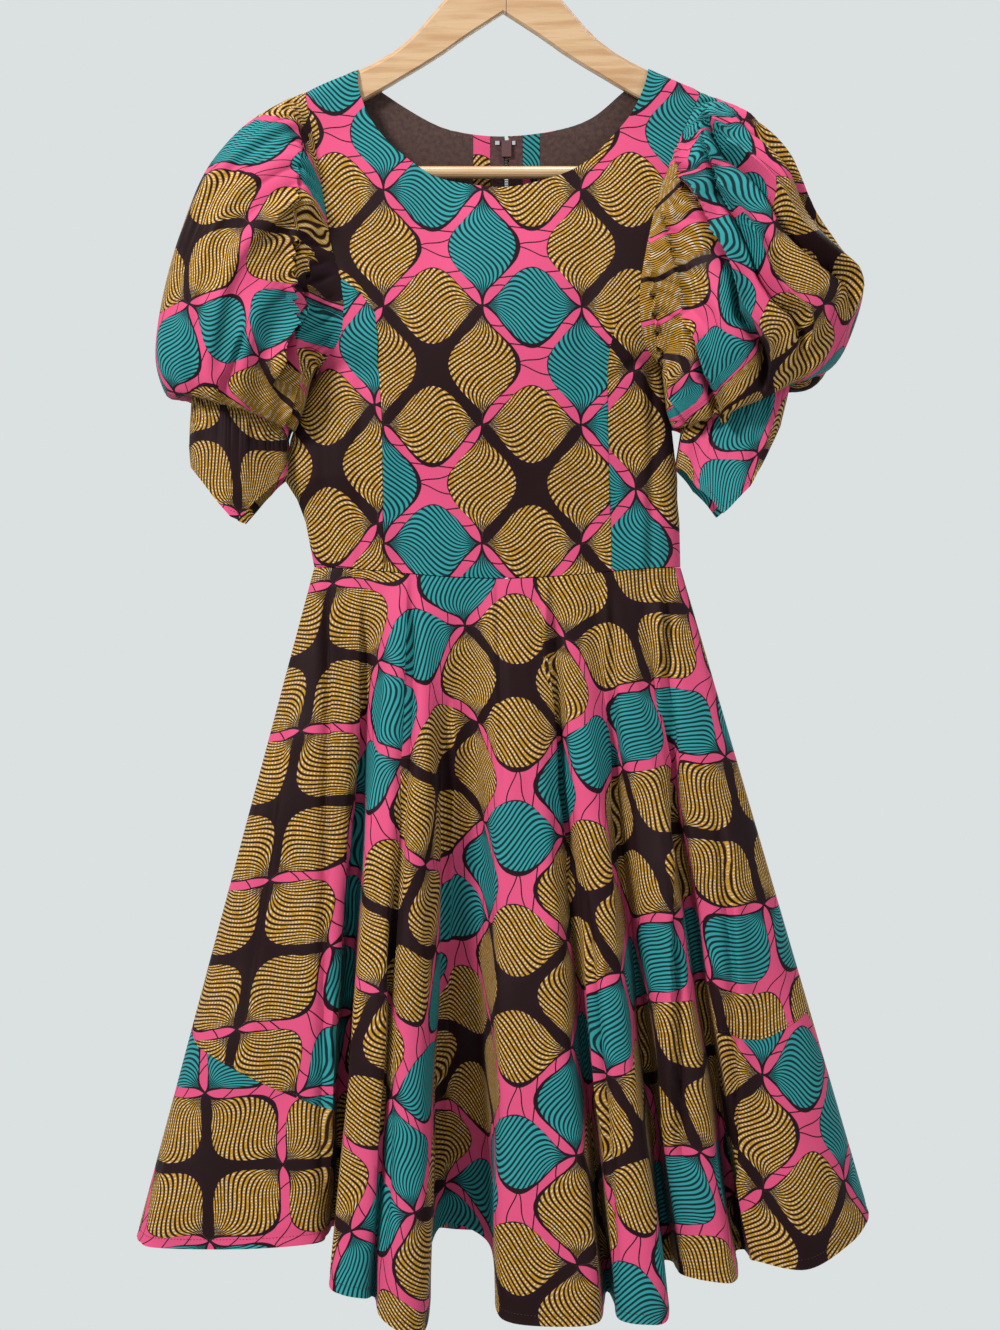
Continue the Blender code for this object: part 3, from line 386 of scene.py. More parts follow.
def spline(a, b, c, d, t):
    """Catmull-Rom place between b and c."""
    return 0.5 * (2 * b + (c - a) * t + (2 * a - 5 * b + 4 * c - d) * t * t
                  + (3 * b - a - 3 * c + d) * t ** 3)


def running(points, axis=0):
    """Length along points or along one way of a grid of them, from 0 at the start."""
    steps = np.linalg.norm(np.diff(points, axis=axis), axis=-1)
    start = np.zeros_like(np.take(steps, [0], axis=axis))
    return np.concatenate([start, np.cumsum(steps, axis=axis)], axis=axis)


def at_lengths(steps, run, points):
    """The polyline's points at the given lengths, where run holds the lengths of its own points."""
    return np.column_stack([np.interp(steps, run, points[:, k]) for k in range(points.shape[1])])


def smooth_curve(points, count=None, steps=None):
    """Points of a Catmull-Rom curve through the rows, evenly spaced or at the given lengths."""
    rows = np.asarray(points, dtype=float)
    padded = np.vstack([2 * rows[0] - rows[1], rows, 2 * rows[-1] - rows[-2]])
    t = np.linspace(0, 1, 24, endpoint=False)[None, :, None]
    dense = spline(*(padded[k:len(rows) - 1 + k, None, :] for k in range(4)), t)
    dense = np.vstack([dense.reshape(-1, rows.shape[1]), rows[-1]])
    run = running(dense)
    if steps is None:
        steps = np.linspace(0, run[-1], count)
    return at_lengths(steps, run, dense)


def bell(gap, width):
    """1 in the middle, falling smoothly to 0 on both sides."""
    return np.exp(-(gap / width) ** 2)


def sharp_fold(gap, width, lap, hollow):
    """A fold that rises smoothly on one side and drops over its edge into a hollow on the other."""
    above = bell(gap, width)
    below = -hollow * bell(gap - lap, 0.6 * width)
    return above + (below - above) * np.clip(gap / lap, 0.0, 1.0)


def curve_length(points):
    return float(running(smooth_curve(points, 400))[-1])


def densify(points, factor):
    """The polyline with each of its steps cut into equal parts."""
    points = np.asarray(points, dtype=float)
    at = np.linspace(0, len(points) - 1, (len(points) - 1) * factor + 1)
    return at_lengths(at, np.arange(len(points)), points)


def unit(vectors):
    """The vectors at a length of 1."""
    return vectors / np.maximum(np.linalg.norm(vectors, axis=-1, keepdims=True), 1e-9)


def bodice_row(z):
    """Centre, half width and depths of the bodice at a height."""
    rows = BODICE_ROWS[::-1]
    return [np.interp(z, rows[:, 0], rows[:, k]) for k in range(1, 5)]


def bodice_y(x, z, side):
    """Depth of the bodice's outer surface: negative at the front, positive at the back."""
    centre, half, front, back = bodice_row(z)
    shoulder = NECK_Z - SHOULDER_SLOPE * np.maximum(np.abs(x) - NECK_X, 0.0)
    below = np.clip((shoulder - z) / SHOULDER_DEPTH, 0.0, 1.0)
    over_shoulder = np.sqrt(1 - (1 - below) ** 2)
    across = np.minimum(np.abs(x - centre) / half, 1.0)
    lens = np.sqrt(np.maximum(1 - across ** SIDE_ROUNDING, 0.0))
    return (-front if side == "front" else back) * lens * over_shoulder


def bodice_points(flat, side):
    """Points and outward directions of the bodice's surface at flat x, z places."""
    x, z = flat[..., 0], flat[..., 1]
    points = np.stack([x, bodice_y(x, z, side), z], axis=-1)
    step = 0.5
    slope_x = (bodice_y(x + step, z, side) - bodice_y(x - step, z, side)) / (2 * step)
    slope_z = (bodice_y(x, z + step, side) - bodice_y(x, z - step, side)) / (2 * step)
    out = np.stack([slope_x, -np.ones_like(x), slope_z], axis=-1)
    return points, unit(out if side == "front" else -out)


def cloth_across(flat, side):
    """Distance along the cloth from the middle of the body, at flat x, z places."""
    x, z = flat[..., 0], flat[..., 1]
    total = np.zeros_like(x)
    previous = bodice_y(np.zeros_like(x), z, side)
    parts = 40
    for share in np.linspace(0, 1, parts + 1)[1:]:
        here = bodice_y(x * share, z, side)
        total += np.hypot(x / parts, here - previous)
        previous = here
    return np.sign(x) * total


def waist_z(x):
    """Height of the waist seam, which dips in the middle."""
    across = np.minimum(np.abs(x - WAIST_CENTRE) / WAIST_HALF, 1.0)
    return WAIST_Z - WAIST_DIP * np.cos(across * math.pi / 2) ** 1.6


def side_seam(hand):
    """Flat points of the side seam from the underarm to the waist."""
    sign = -1 if hand == "left" else 1
    z = np.interp(np.linspace(0, 1, SIDE_STEPS + 1), np.linspace(0, 1, len(SIDE_SEAM_Z)), SIDE_SEAM_Z)
    centre, half, _, _ = bodice_row(z)
    return np.column_stack([centre + sign * half, z])


def princess_cut(hand):
    """Length down the armhole to the place where the princess seam starts."""
    count = 600
    dense = smooth_curve(ARMHOLE[hand], count)
    nearest = np.argmin(np.linalg.norm(dense - np.array(PRINCESS[hand][0]), axis=1))
    return curve_length(ARMHOLE[hand]) * nearest / (count - 1)


def armhole_points(hand, upper=28, lower=LOWER_STEPS):
    """The armhole from the shoulder tip to the underarm, with a point where the princess seam starts."""
    length = curve_length(ARMHOLE[hand])
    cut = princess_cut(hand)
    steps = cut * np.linspace(0, 1, upper, endpoint=False) ** 1.25
    rest = cut + (length - cut) * np.sin(np.linspace(0, math.pi / 2, lower + 1))
    return smooth_curve(ARMHOLE[hand], steps=np.concatenate([steps, rest]))


def princess_points(hand):
    """Flat points of the princess seam from the armhole to the waist."""
    points = smooth_curve(PRINCESS[hand], LOWER_STEPS + SIDE_STEPS + 1)
    points[-1][1] = waist_z(points[-1][0])
    return points


def line_distance(flat, line):
    """Distance of each flat place from a polyline."""
    best = np.full(flat.shape[:-1], 1e9)
    line = np.asarray(line, dtype=float)
    for a, b in zip(line, line[1:]):
        way = b - a
        share = np.clip(((flat - a) @ way) / (way @ way), 0.0, 1.0)
        best = np.minimum(best, np.linalg.norm(flat - a - share[..., None] * way, axis=-1))
    return best


def waves(u, v, seed, scale, height):
    """Soft, uneven waves over a surface, the same each run."""
    source = np.random.default_rng(seed)
    total = 0.0
    for _ in range(6):
        angle = source.uniform(0, math.pi)
        size = scale * source.uniform(0.6, 1.7)
        shift = source.uniform(0, 2 * math.pi)
        total = total + np.sin((u * math.cos(angle) + v * math.sin(angle)) * 2 * math.pi / size + shift)
    return total * height / 3.0


def place_print(name, u, v, points):
    """The cloth place in metres, moved and turned until the print lies on the piece as the table says."""
    if name in PRINT_PLACE:
        at_x, at_z, column, row, degrees = PRINT_PLACE[name]
        seen = points * ((-1, -1, 1) if name.startswith("back") else (1, 1, 1))
        far = np.hypot(seen[..., 0] - at_x, seen[..., 2] - at_z) + 0.05 * seen[..., 1]
        i, j = np.unravel_index(np.argmin(far), far.shape)
        before, after = max(j - 1, 0), min(j + 1, far.shape[1] - 1)
        way = seen[i, after] - seen[i, before]
        flat_way = (u[i, after] - u[i, before], v[i, after] - v[i, before])
        turn = math.atan2(way[2], way[0]) - math.atan2(flat_way[1], flat_way[0]) - math.radians(degrees)
        u, v = u * math.cos(turn) - v * math.sin(turn), u * math.sin(turn) + v * math.cos(turn)
        cut = bpy.context.scene.dress_print
        u = u - u[i, j] + column * cut.column_width
        v = v - v[i, j] - row * cut.row_height
    return np.stack([u, v], axis=-1) * MM


def shell(name, grid, normals, uv, wall, material, keep=None, lift=0.0):
    """A thin closed wall of cloth under a grid of outer points, as one mesh object with its UV."""
    outer = grid - normals * lift
    inner = outer - normals * wall
    rows, columns = grid.shape[:2]
    kept = np.ones((rows - 1, columns - 1), bool) if keep is None else keep
    i, j = np.nonzero(kept)
    start = i * columns + j
    corners = np.stack([start, start + columns, start + columns + 1, start + 1], axis=1)
    total = rows * columns
    faces = [corners, corners[:, ::-1] + total]
    around = np.zeros((rows + 1, columns + 1), bool)
    around[1:-1, 1:-1] = kept
    for step_i, step_j, a, b in ((-1, 0, 3, 0), (1, 0, 1, 2), (0, -1, 0, 1), (0, 1, 2, 3)):
        open_edge = ~around[i + 1 + step_i, j + 1 + step_j]
        one, other = corners[open_edge, a], corners[open_edge, b]
        faces.append(np.stack([other, one, one + total, other + total], axis=1))
    faces = np.vstack(faces)
    points = np.vstack([outer.reshape(-1, 3), inner.reshape(-1, 3)]) * MM
    used, where = np.unique(faces, return_inverse=True)
    faces = where.reshape(faces.shape)
    data = bpy.data.meshes.new(name + "_cloth")
    data.vertices.add(len(used))
    data.vertices.foreach_set("co", points[used].ravel())
    data.loops.add(faces.size)
    data.loops.foreach_set("vertex_index", faces.ravel())
    data.polygons.add(len(faces))
    data.polygons.foreach_set("loop_start", np.arange(len(faces)) * 4)
    data.update(calc_edges=True)
    layer = data.uv_layers.new(name="UVMap")
    flat_uv = np.vstack([uv.reshape(-1, 2), uv.reshape(-1, 2)])[used][faces.ravel()]
    layer.data.foreach_set("uv", flat_uv.ravel())
    data.validate()
    data.shade_smooth()
    data.set_sharp_from_angle(angle=math.radians(55))
    data.materials.append(material)
    obj = bpy.data.objects.new(name + "_cloth", data)
    bpy.context.scene.collection.objects.link(obj)
    return obj


def grid_normals(grid, flip):
    """Unit normals of a grid of points, from the neighbours along both directions."""
    steps = []
    for axis in (0, 1):
        step = unit(np.diff(grid, axis=axis, append=np.take(grid, [0], axis=axis)))
        before = np.roll(step, 1, axis=axis)
        mean = step + before
        first = (slice(None),) * axis + (0,)
        end = (slice(None),) * axis + (-1,)
        mean[first] = step[first]
        mean[end] = before[end]
        steps.append(mean)
    return unit(np.cross(steps[0], steps[1])) * (-1 if flip else 1)


def drawn_in(grid, inset):
    """The grid with its first and last rows and columns drawn in by lengths in mm."""
    drawn = grid.copy()
    for amount, here, there in (
        (inset[0], np.s_[0, :], np.s_[1, :]), (inset[1], np.s_[-1, :], np.s_[-2, :]),
        (inset[2], np.s_[:, 0], np.s_[:, 1]), (inset[3], np.s_[:, -1], np.s_[:, -2]),
    ):
        if amount:
            way = grid[there] - grid[here]
            run = np.linalg.norm(way, axis=1, keepdims=True)
            drawn[here] += np.minimum(amount / np.maximum(run, 1e-9), 0.4) * way
    return drawn


def put_in_place(obj, node):
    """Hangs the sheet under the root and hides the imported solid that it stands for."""
    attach(obj, "root")
    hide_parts(node)


def bodice_piece(name, inner, outer, side, columns, cloth, material, inset, to_waist, creases):
    """A panel between an inner line and an outer line that faces it, with creases and sunk seams."""
    shares = np.linspace(0, 1, columns)
    flat = inner[:, None] + (outer - inner)[:, None] * shares[None, :, None]
    if to_waist:
        ramp = np.clip((np.arange(len(flat)) - (len(flat) - 1 - to_waist)) / to_waist, 0, 1)[:, None]
        flat[..., 1] += (waist_z(flat[..., 0]) - flat[-1:, :, 1]) * ramp
    grid, normals = bodice_points(flat, side)
    depth = np.zeros(flat.shape[:-1])
    for line, width, sink in creases:
        depth -= sink * bell(line_distance(flat, line), width)
    from_edge = (1 - shares)[None, :] * np.linalg.norm(outer - inner, axis=1)[:, None]
    depth -= cloth.seam_sink * bell(from_edge, SEAM_DIP_WIDTH)
    depth += waves(flat[..., 0], flat[..., 1], len(name) * 7, BODICE_WAVE, cloth.wave_height)
    fade = np.clip(from_edge / EDGE_FADE, 0.15, 1.0)
    grid = grid + normals * (depth * fade)[..., None]
    across = cloth_across(flat, side) * (1 if side == "front" else -1)
    uv = place_print(name, across, flat[..., 1], grid)
    obj = shell(name, drawn_in(grid, inset), normals, uv, cloth.wall, material)
    put_in_place(obj, name)


def build_front_bodice(cloth, material):
    """The centre panel, from the neck to the armholes, princess seams and waist, and the side panels."""
    left, right = (armhole_points(hand, upper=12)[:-LOWER_STEPS] for hand in ("left", "right"))
    left_seam, right_seam = (princess_points(hand) for hand in ("left", "right"))
    waist_x = np.linspace(left_seam[-1][0], right_seam[-1][0], 9)[1:-1]
    waist = np.column_stack([waist_x, waist_z(waist_x)])
    outer = np.vstack([left, left_seam[1:], waist, right_seam[::-1], right[::-1][1:]])
    marks = [len(left) - 1, len(left) + len(left_seam) - 2, len(outer) - len(right) - len(right_seam) + 1,
             len(outer) - len(right)]
    run = running(outer)
    neck_length = curve_length(FRONT_NECK)
    dense = densify(outer, 5)
    dense_run = np.interp(np.linspace(0, len(run) - 1, len(dense)), np.arange(len(run)), run)
    keys = [0, NECK_CORNER, *run[marks], run[-1] - NECK_CORNER, run[-1]]
    from_start = [0, NECK_CORNER, *NECK_AT_SEAMS]
    at_neck = from_start + [neck_length - step for step in from_start[::-1]]
    neck = smooth_curve(FRONT_NECK, steps=np.interp(dense_run, keys, at_neck))
    bodice_piece("front_center_panel", neck, dense, "front", 44, cloth, material,
                 (HALF_GAP, HALF_GAP, 0, HALF_GAP), 0, FRONT_CREASES)
    for hand in ("left", "right"):
        arm = armhole_points(hand)[-LOWER_STEPS - 1:]
        outer = np.vstack([arm, side_seam(hand)[1:]])
        inner = princess_points(hand)
        for line in (outer, inner):
            line[0] += (line[1] - line[0]) * 0.12
        bodice_piece("front_side_panel_" + hand, densify(inner, 10), densify(outer, 10), "front", 26,
                     cloth, material, (HALF_GAP,) * 4, 10, FRONT_CREASES)


def build_back_bodice(cloth, material):
    """The two back panels, from the neck and the zip to the armholes and side seams."""
    for hand, sign in (("left", -1), ("right", 1)):
        arm = armhole_points(hand, upper=12)
        centre_x = ZIP_X + sign * ZIP_GAP / 2
        outer = np.vstack([arm, side_seam(hand)[1:]])
        run = running(outer)
        outline = smooth_curve(BACK_NECK if hand == "left" else BACK_NECK[::-1], 600)
        outline = outline[(outline[:, 0] - centre_x) * sign > 0]
        neck_length = running(outline)[-1]
        edge_line = np.vstack([outline, [(centre_x, waist_z(centre_x))]])
        edge_run = running(edge_line)
        arm_end = run[len(arm) - 1]
        dense = densify(outer, 6)
        dense_run = np.interp(np.linspace(0, len(run) - 1, len(dense)), np.arange(len(run)), run)
        steps = np.interp(dense_run, [0, NECK_CORNER, NECK_FACES_ARM, arm_end, run[-1]],
                          [0, NECK_CORNER, neck_length, neck_length + UNDERARM_FACES_ZIP, edge_run[-1]])
        inner = at_lengths(steps, edge_run, edge_line)
        nearest = np.argmin(np.abs(steps - neck_length))
        inner[nearest] = outline[-1]
        inner[nearest:, 0] = centre_x
        bodice_piece("back_bodice_" + hand, inner, dense, "back", 44, cloth, material,
                     (HALF_GAP, 0, 0, HALF_GAP), 6, [])


def sleeve_rings(hand, points):
    """Rings of the sleeve from the underarm over the front, the crest and the back to the underarm."""
    sign = -1 if hand == "left" else 1
    arm = smooth_curve(ARMHOLE[hand], points // 2)
    share = running(arm) / running(arm)[-1]
    t = np.concatenate([share[::-1], share[1:]])
    is_front = np.arange(len(t)) < len(share)
    out = np.where(is_front, -1.0, 1.0)
    arm = np.concatenate([arm[::-1], arm[1:]])
    depth = np.where(is_front, *(bodice_y(arm[:, 0], arm[:, 1], side) for side in ("front", "back")))
    rings = [np.column_stack([arm[:, 0], depth, arm[:, 1]])]
    angle = math.pi * t
    fullness = np.sin(angle) ** SLEEVE_ROUNDING
    folds = np.zeros_like(t)
    for face, here in (("front", is_front), ("back", ~is_front)):
        for place, height, width in SLEEVE_FOLDS[face]:
            folds += here * height * bell(t - place, width)
    rows = SLEEVE_RINGS[hand]
    for number, (outer_x, outer_z, inner_x, inner_z, deep, bow) in enumerate(rows):
        reach = np.array([outer_x - inner_x, 0.0, outer_z - inner_z])
        back_way = np.array([-sign * reach[2], 0.0, sign * reach[0]]) / np.linalg.norm(reach)
        centre = np.array([outer_x + inner_x, 0.0, outer_z + inner_z]) / 2
        grown = min(number + 1, 3) / 3 * min(len(rows) - number, 3) / 3
        ring = centre + np.outer(np.cos(angle), reach / 2) + np.outer(np.sin(angle) * bow, back_way)
        ring[:, 1] += out * (deep * fullness + (folds - 3) * grown * np.sin(angle))
        rings.append(ring)
    hem = np.array(TIER_HEM[hand], dtype=float)
    hem = hem[np.argsort(hem[:, 0])]
    x = (hem[0, 0] + hem[-1, 0]) / 2 + sign * (hem[-1, 0] - hem[0, 0]) / 2 * np.cos(angle)
    bottom = np.column_stack([x, out * TIER_DEPTH * fullness, np.interp(x, hem[:, 0], hem[:, 1])])
    return t, is_front, np.array(rings), bottom


def catmull(rings, count):
    """Rings blended smoothly between the given ones, evenly in their mean distance apart."""
    gaps = np.linalg.norm(np.diff(rings, axis=0), axis=2).mean(axis=1)
    run = np.concatenate([[0], np.cumsum(gaps)])
    padded = np.concatenate([2 * rings[:1] - rings[1:2], rings, 2 * rings[-1:] - rings[-2:-1]])
    made = []
    for at in np.linspace(0, run[-1], count):
        k = min(int(np.searchsorted(run, at, side="right")) - 1, len(gaps) - 1)
        made.append(spline(*padded[k:k + 4], (at - run[k]) / gaps[k]))
    return np.array(made)


def fold_depth(hand, sleeve, around, s, below):
    """Depth of the sleeve's listed folds and small gathers, by place round it and down it."""
    source = np.random.default_rng(SEEDS[hand])
    depth = np.zeros(np.broadcast(around, s).shape)
    puff = below == 0
    hollow, beside, narrow = PLEAT_HOLLOW
    for start, end, reach, height, width in SLEEVE_PLEATS[hand]:
        middle = start + (end - start) * s
        gap = (around - middle) / (width * (0.35 + s))
        grown = np.clip(s * 9, 0.25, 1) * bell(np.maximum(s - reach, 0), 0.13)
        depth += height * grown * (bell(gap, 1) - hollow * bell(gap - beside, narrow)) * puff
    for k in range(sleeve.gathers):
        place = (k + source.uniform(-GATHER_SHIFT, GATHER_SHIFT)) / sleeve.gathers * 2 - 1
        reach = source.uniform(*GATHER_REACH)
        sink = source.uniform(*GATHER_SHARE) * sleeve.gather_depth
        drift = source.uniform(-GATHER_DRIFT, GATHER_DRIFT)
        width = source.uniform(*GATHER_WIDTH)
        gap = np.abs(around - place - drift * s)
        fade = np.clip(s * 14, 0.15, 1) * bell(s, reach)
        depth -= sink * fade * np.exp(-gap / (width * (1 + 2.5 * s))) * puff
        end_place = (k + source.uniform(-GATHER_SHIFT, GATHER_SHIFT)) / sleeve.gathers * 2 - 1
        near_tier = bell(1 - s, 0.10) * bell(below, 0.35)
        depth -= TIER_GATHER_SHARE * sink * near_tier * np.exp(-np.abs(around - end_place) / (width * 1.3))
    return depth


def crease_folds(hand, grid, u, columns):
    """Depth of the front's sharp folds, and the print's shift across each by the cloth that it hides."""
    depth = np.zeros(u.shape)
    shift = np.zeros(u.shape)
    middle = len(grid) // 2
    x, z = grid[:middle, :columns, 0], grid[:middle, :columns, 2]
    rows = np.arange(grid.shape[1])
    front = (np.arange(len(u)) <= middle)[:, None]
    for line, height, hidden, width in SLEEVE_CREASES[hand]:
        near = [np.unravel_index(np.argmin(np.hypot(x - a, z - b)), x.shape) for a, b in line]
        near = sorted((j, i) for i, j in near)
        first, last = near[0][0], near[-1][0]
        place = np.interp(rows, [j for j, _ in near], [i for _, i in near])
        at = np.array([np.interp(p, np.arange(len(u)), u[:, j]) for j, p in enumerate(place)])
        gap = np.abs(u) - np.abs(at)
        end = np.clip((last + 6 - rows) / 9, 0.0, 1.0)
        share = np.clip((rows - first + 2) / 7, 0.0, 1.0) * end
        slow = np.clip((rows - first + 30) / 40, 0.0, 1.0) * end
        depth += front * height * share * sharp_fold(gap, width, SLEEVE_LAP, 1.1)
        shift += front * hidden * slow * np.clip(gap / SLEEVE_LAP, 0.0, 1.0)
    return depth, shift


def sleeve_surface(hand, sleeve, cloth):
    """The puff with its gathers and the tier below it, with its place on the flat cloth."""
    sign = -1 if hand == "left" else 1
    t, is_front, rings, bottom = sleeve_rings(hand, sleeve.around)
    puff = catmull(rings, sleeve.puff_rows)
    steps = np.linspace(0, 1, sleeve.tier_rows + 1)[1:]
    tier = puff[-1] + (bottom - puff[-1])[None] * steps[:, None, None]
    grid = np.concatenate([puff, tier]).transpose(1, 0, 2)
    flip = hand == "right"
    s = np.concatenate([np.linspace(0, 1, len(puff)), np.ones(len(tier))])[None, :]
    below = np.concatenate([np.zeros(len(puff)), steps])[None, :]
    around = np.where(is_front, t, -t)[:, None]
    from_underarm = 1 - np.abs(around)
    tucked = bell(from_underarm, 0.16) * np.clip((s - 0.01) / 0.10, 0, 1)
    grid[..., 0] -= sign * sleeve.tuck * tucked
    grid[..., 1] -= np.sign(around) * sleeve.tuck * tucked
    normals = grid_normals(grid, flip)
    run = running(grid, 1)
    v = run[:, len(puff) - 1:len(puff)] - run
    ring_run = running(grid, 0)
    u = (ring_run - ring_run[len(t) // 2]) * sign
    creases, hidden = crease_folds(hand, grid, u, len(puff))
    depth = fold_depth(hand, sleeve, around, s, below) + creases
    height = cloth.wave_height * 1.2
    depth += waves(around * 300, s * 300, 5 + len(hand), SLEEVE_WAVE, height) * np.clip(s * 6, 0, 1)
    edge = np.minimum(s * 20, 1) * np.minimum((1 - below) * 12 + 0.3, 1)
    edge = edge * np.clip(from_underarm * 20, 0, 1)
    grid = grid + normals * (depth * edge)[..., None]
    return grid, grid_normals(grid, flip), u - sign * hidden, v


def build_sleeve(hand, sleeve, cloth, material):
    """One puff sleeve and its tier, as one sheet gathered into the armhole."""
    name = "sleeve_" + hand
    grid, normals, u, v = sleeve_surface(hand, sleeve, cloth)
    uv = place_print(name, u, v, grid)
    inset = (HALF_GAP, HALF_GAP, SEAM_GAP, 0)
    obj = shell(name, drawn_in(grid, inset), normals, uv, cloth.wall, material)
    put_in_place(obj, name)


def skirt_lines(side, spacing):
    """Share of the way round, waist point and hem point of each of the skirt's lines."""
    hem = smooth_curve(FRONT_HEM if side == "front" else BACK_HEM, 6000)
    run = running(hem)
    marks = np.linspace(0, run[-1], int(run[-1] / spacing))
    centre, half, _, _ = bodice_row(WAIST_Z)
    x = centre - half * np.cos(np.linspace(0, math.pi, 500))
    z = waist_z(x)
    waist = np.column_stack([x, bodice_y(x, z, side), z - WAIST_GAP])
    waist_run = running(waist)
    shares = marks / run[-1]
    top = at_lengths(shares * waist_run[-1], waist_run, waist)
    return shares, top, at_lengths(marks, run, hem), run[-1]


def skirt_cut(side, top, bottom, shares, reach):
    """Flat places of the skirt's cloth: a fan with the hem's, the waist's and the lines' own lengths."""
    line = float(np.linalg.norm(bottom - top, axis=1).mean())
    waist_length, hem_length = running(top)[-1], running(bottom)[-1]
    spread = (hem_length - waist_length) / line
    radius = waist_length / spread + reach * line
    turn = spread * (shares[:, None] - 0.5)
    outward = 1 if side == "front" else -1
    return np.stack([outward * radius * np.sin(turn), -radius * np.cos(turn)], axis=-1)


def from_side(hand, shares, hem_length):
    """Distance of each line from a side seam, along the hem."""
    return (shares if hand == "left" else 1 - shares) * hem_length


def corner_end(side, hand, shares, hem_length):
    """The line where the corner piece ends."""
    away = from_side(hand, shares, hem_length)
    return int(np.argmin(np.abs(away - CORNERS[side + "_" + hand]["end"])))


def skirt_creases(grid, normals):
    """Depth of the front's sharp folds, on the cloth that faces the viewer."""
    depth = np.zeros(grid.shape[:2])
    facing = np.clip(-normals[..., 1] * 3 - 0.6, 0.0, 1.0)
    for line, height, width, falls in SKIRT_CREASES:
        x, z = np.array(line, dtype=float).T
        gap = (grid[..., 0] - np.interp(-grid[..., 2], -z, x)) * falls
        below_start = np.clip((z[0] - grid[..., 2]) / 50 + 0.5, 0.0, 1.0)
        above_end = np.clip((grid[..., 2] - z[-1]) / 70 + 0.5, 0.0, 1.0)
        depth += height * facing * below_start * above_end * sharp_fold(gap, width, SKIRT_LAP, 1.0)
    return depth


def skirt_surface(side, skirt, draw):
    """The skirt's side as a dense grid, with a row along the corners' seams."""
    shares, top, bottom, hem_length = skirt_lines(side, skirt.spacing)
    columns = np.arange(len(shares))
    seam = np.full(len(shares), PLAIN_SEAM_ROW)
    for hand in ("left", "right"):
        corner = CORNERS[side + "_" + hand]
        end = corner_end(side, hand, shares, hem_length)
        at = np.interp(from_side(hand, shares, hem_length), [0, corner["edge"], corner["end"]],
                       [corner["at_side"], corner["at_edge"], corner["at_end"]])
        seam = np.where(columns <= end if hand == "left" else columns >= end, at, seam)
    seam = (seam + draw * HALF_GAP / SKIRT_LENGTH)[:, None]
    upper = seam * np.linspace(0, 1, skirt.upper_rows)[None, :]
    lower = seam + (1 - seam) * np.linspace(0, 1, skirt.lower_rows)[None, 1:]
    reach = np.hstack([upper, lower])
    grid = top[:, None] + (bottom - top)[:, None] * reach[..., None]
    along = grid[np.minimum(columns + 1, len(shares) - 1)] - grid[np.maximum(columns - 1, 0)]
    normals = np.cross(np.broadcast_to((bottom - top)[:, None], grid.shape), along)
    normals = unit(normals) * (1 if side == "front" else -1)
    normals[0] = (-1, 0, 0)
    normals[-1] = (1, 0, 0)
    u = (shares[:, None] * hem_length) * np.ones_like(reach)
    depth = waves(u, reach * SKIRT_LENGTH, SEEDS[side], SKIRT_WAVE, skirt.wave_height)
    depth += waves(u * 2.2, reach * 300, SEEDS["hem"], 0.8 * SKIRT_WAVE, skirt.wave_height * 0.4) * reach
    depth *= np.clip(reach * 5, 0, 1) * np.clip((1 - reach) * 12 + 0.35, 0, 1)
    depth *= np.clip(np.minimum(shares, 1 - shares) * 40, 0, 1)[:, None]
    if side == "front":
        depth += skirt_creases(grid, normals)
    depth -= skirt.hem_sink * bell((1 - reach) * SKIRT_LENGTH - HEM_STITCH_UP, 2.5)
    grid = grid + normals * depth[..., None]
    return grid, normals, skirt_cut(side, top, bottom, shares, reach), shares, hem_length


def build_skirt(side, cloth, skirt, material):
    """The panels of one side of the skirt, and its two corner pieces."""
    seam_row = skirt.upper_rows - 1

    def sew(name, rows, inset, keep):
        """Makes the piece that the given lines and rows of the grid are."""
        cut = flat[rows]
        uv = place_print(name, cut[..., 0], cut[..., 1], grid[rows])
        obj = shell(name, drawn_in(grid[rows], inset), normals[rows], uv, cloth.wall, material, keep=keep)
        put_in_place(obj, name)

    grid, normals, flat, shares, hem_length = skirt_surface(side, skirt, -1)
    left, right = (corner_end(side, hand, shares, hem_length) for hand in ("left", "right"))
    last = len(shares) - 1
    spans = [("front_skirt", 0, last)]
    if side == "back":
        hem = skirt_lines(side, skirt.spacing)[2]
        middle = int(np.argmin(np.abs(hem[:, 0] - ZIP_X)))
        spans = [("back_skirt_left", 0, middle), ("back_skirt_right", middle, last)]
    for name, first, end in spans:
        keep = np.ones((end - first, grid.shape[1] - 1), bool)
        column = np.arange(first, end)
        keep[(column < left) | (column >= right), seam_row:] = False
        sew(name, np.s_[first:end + 1], (HALF_GAP, HALF_GAP, 0, 0), keep)
    grid, normals, flat, _, _ = skirt_surface(side, skirt, 1)
    sew(side + "_skirt_corner_left", np.s_[:left + 1, seam_row:], (HALF_GAP, 0, 0, 0), None)
    sew(side + "_skirt_corner_right", np.s_[right:, seam_row:], (0, HALF_GAP, 0, 0), None)


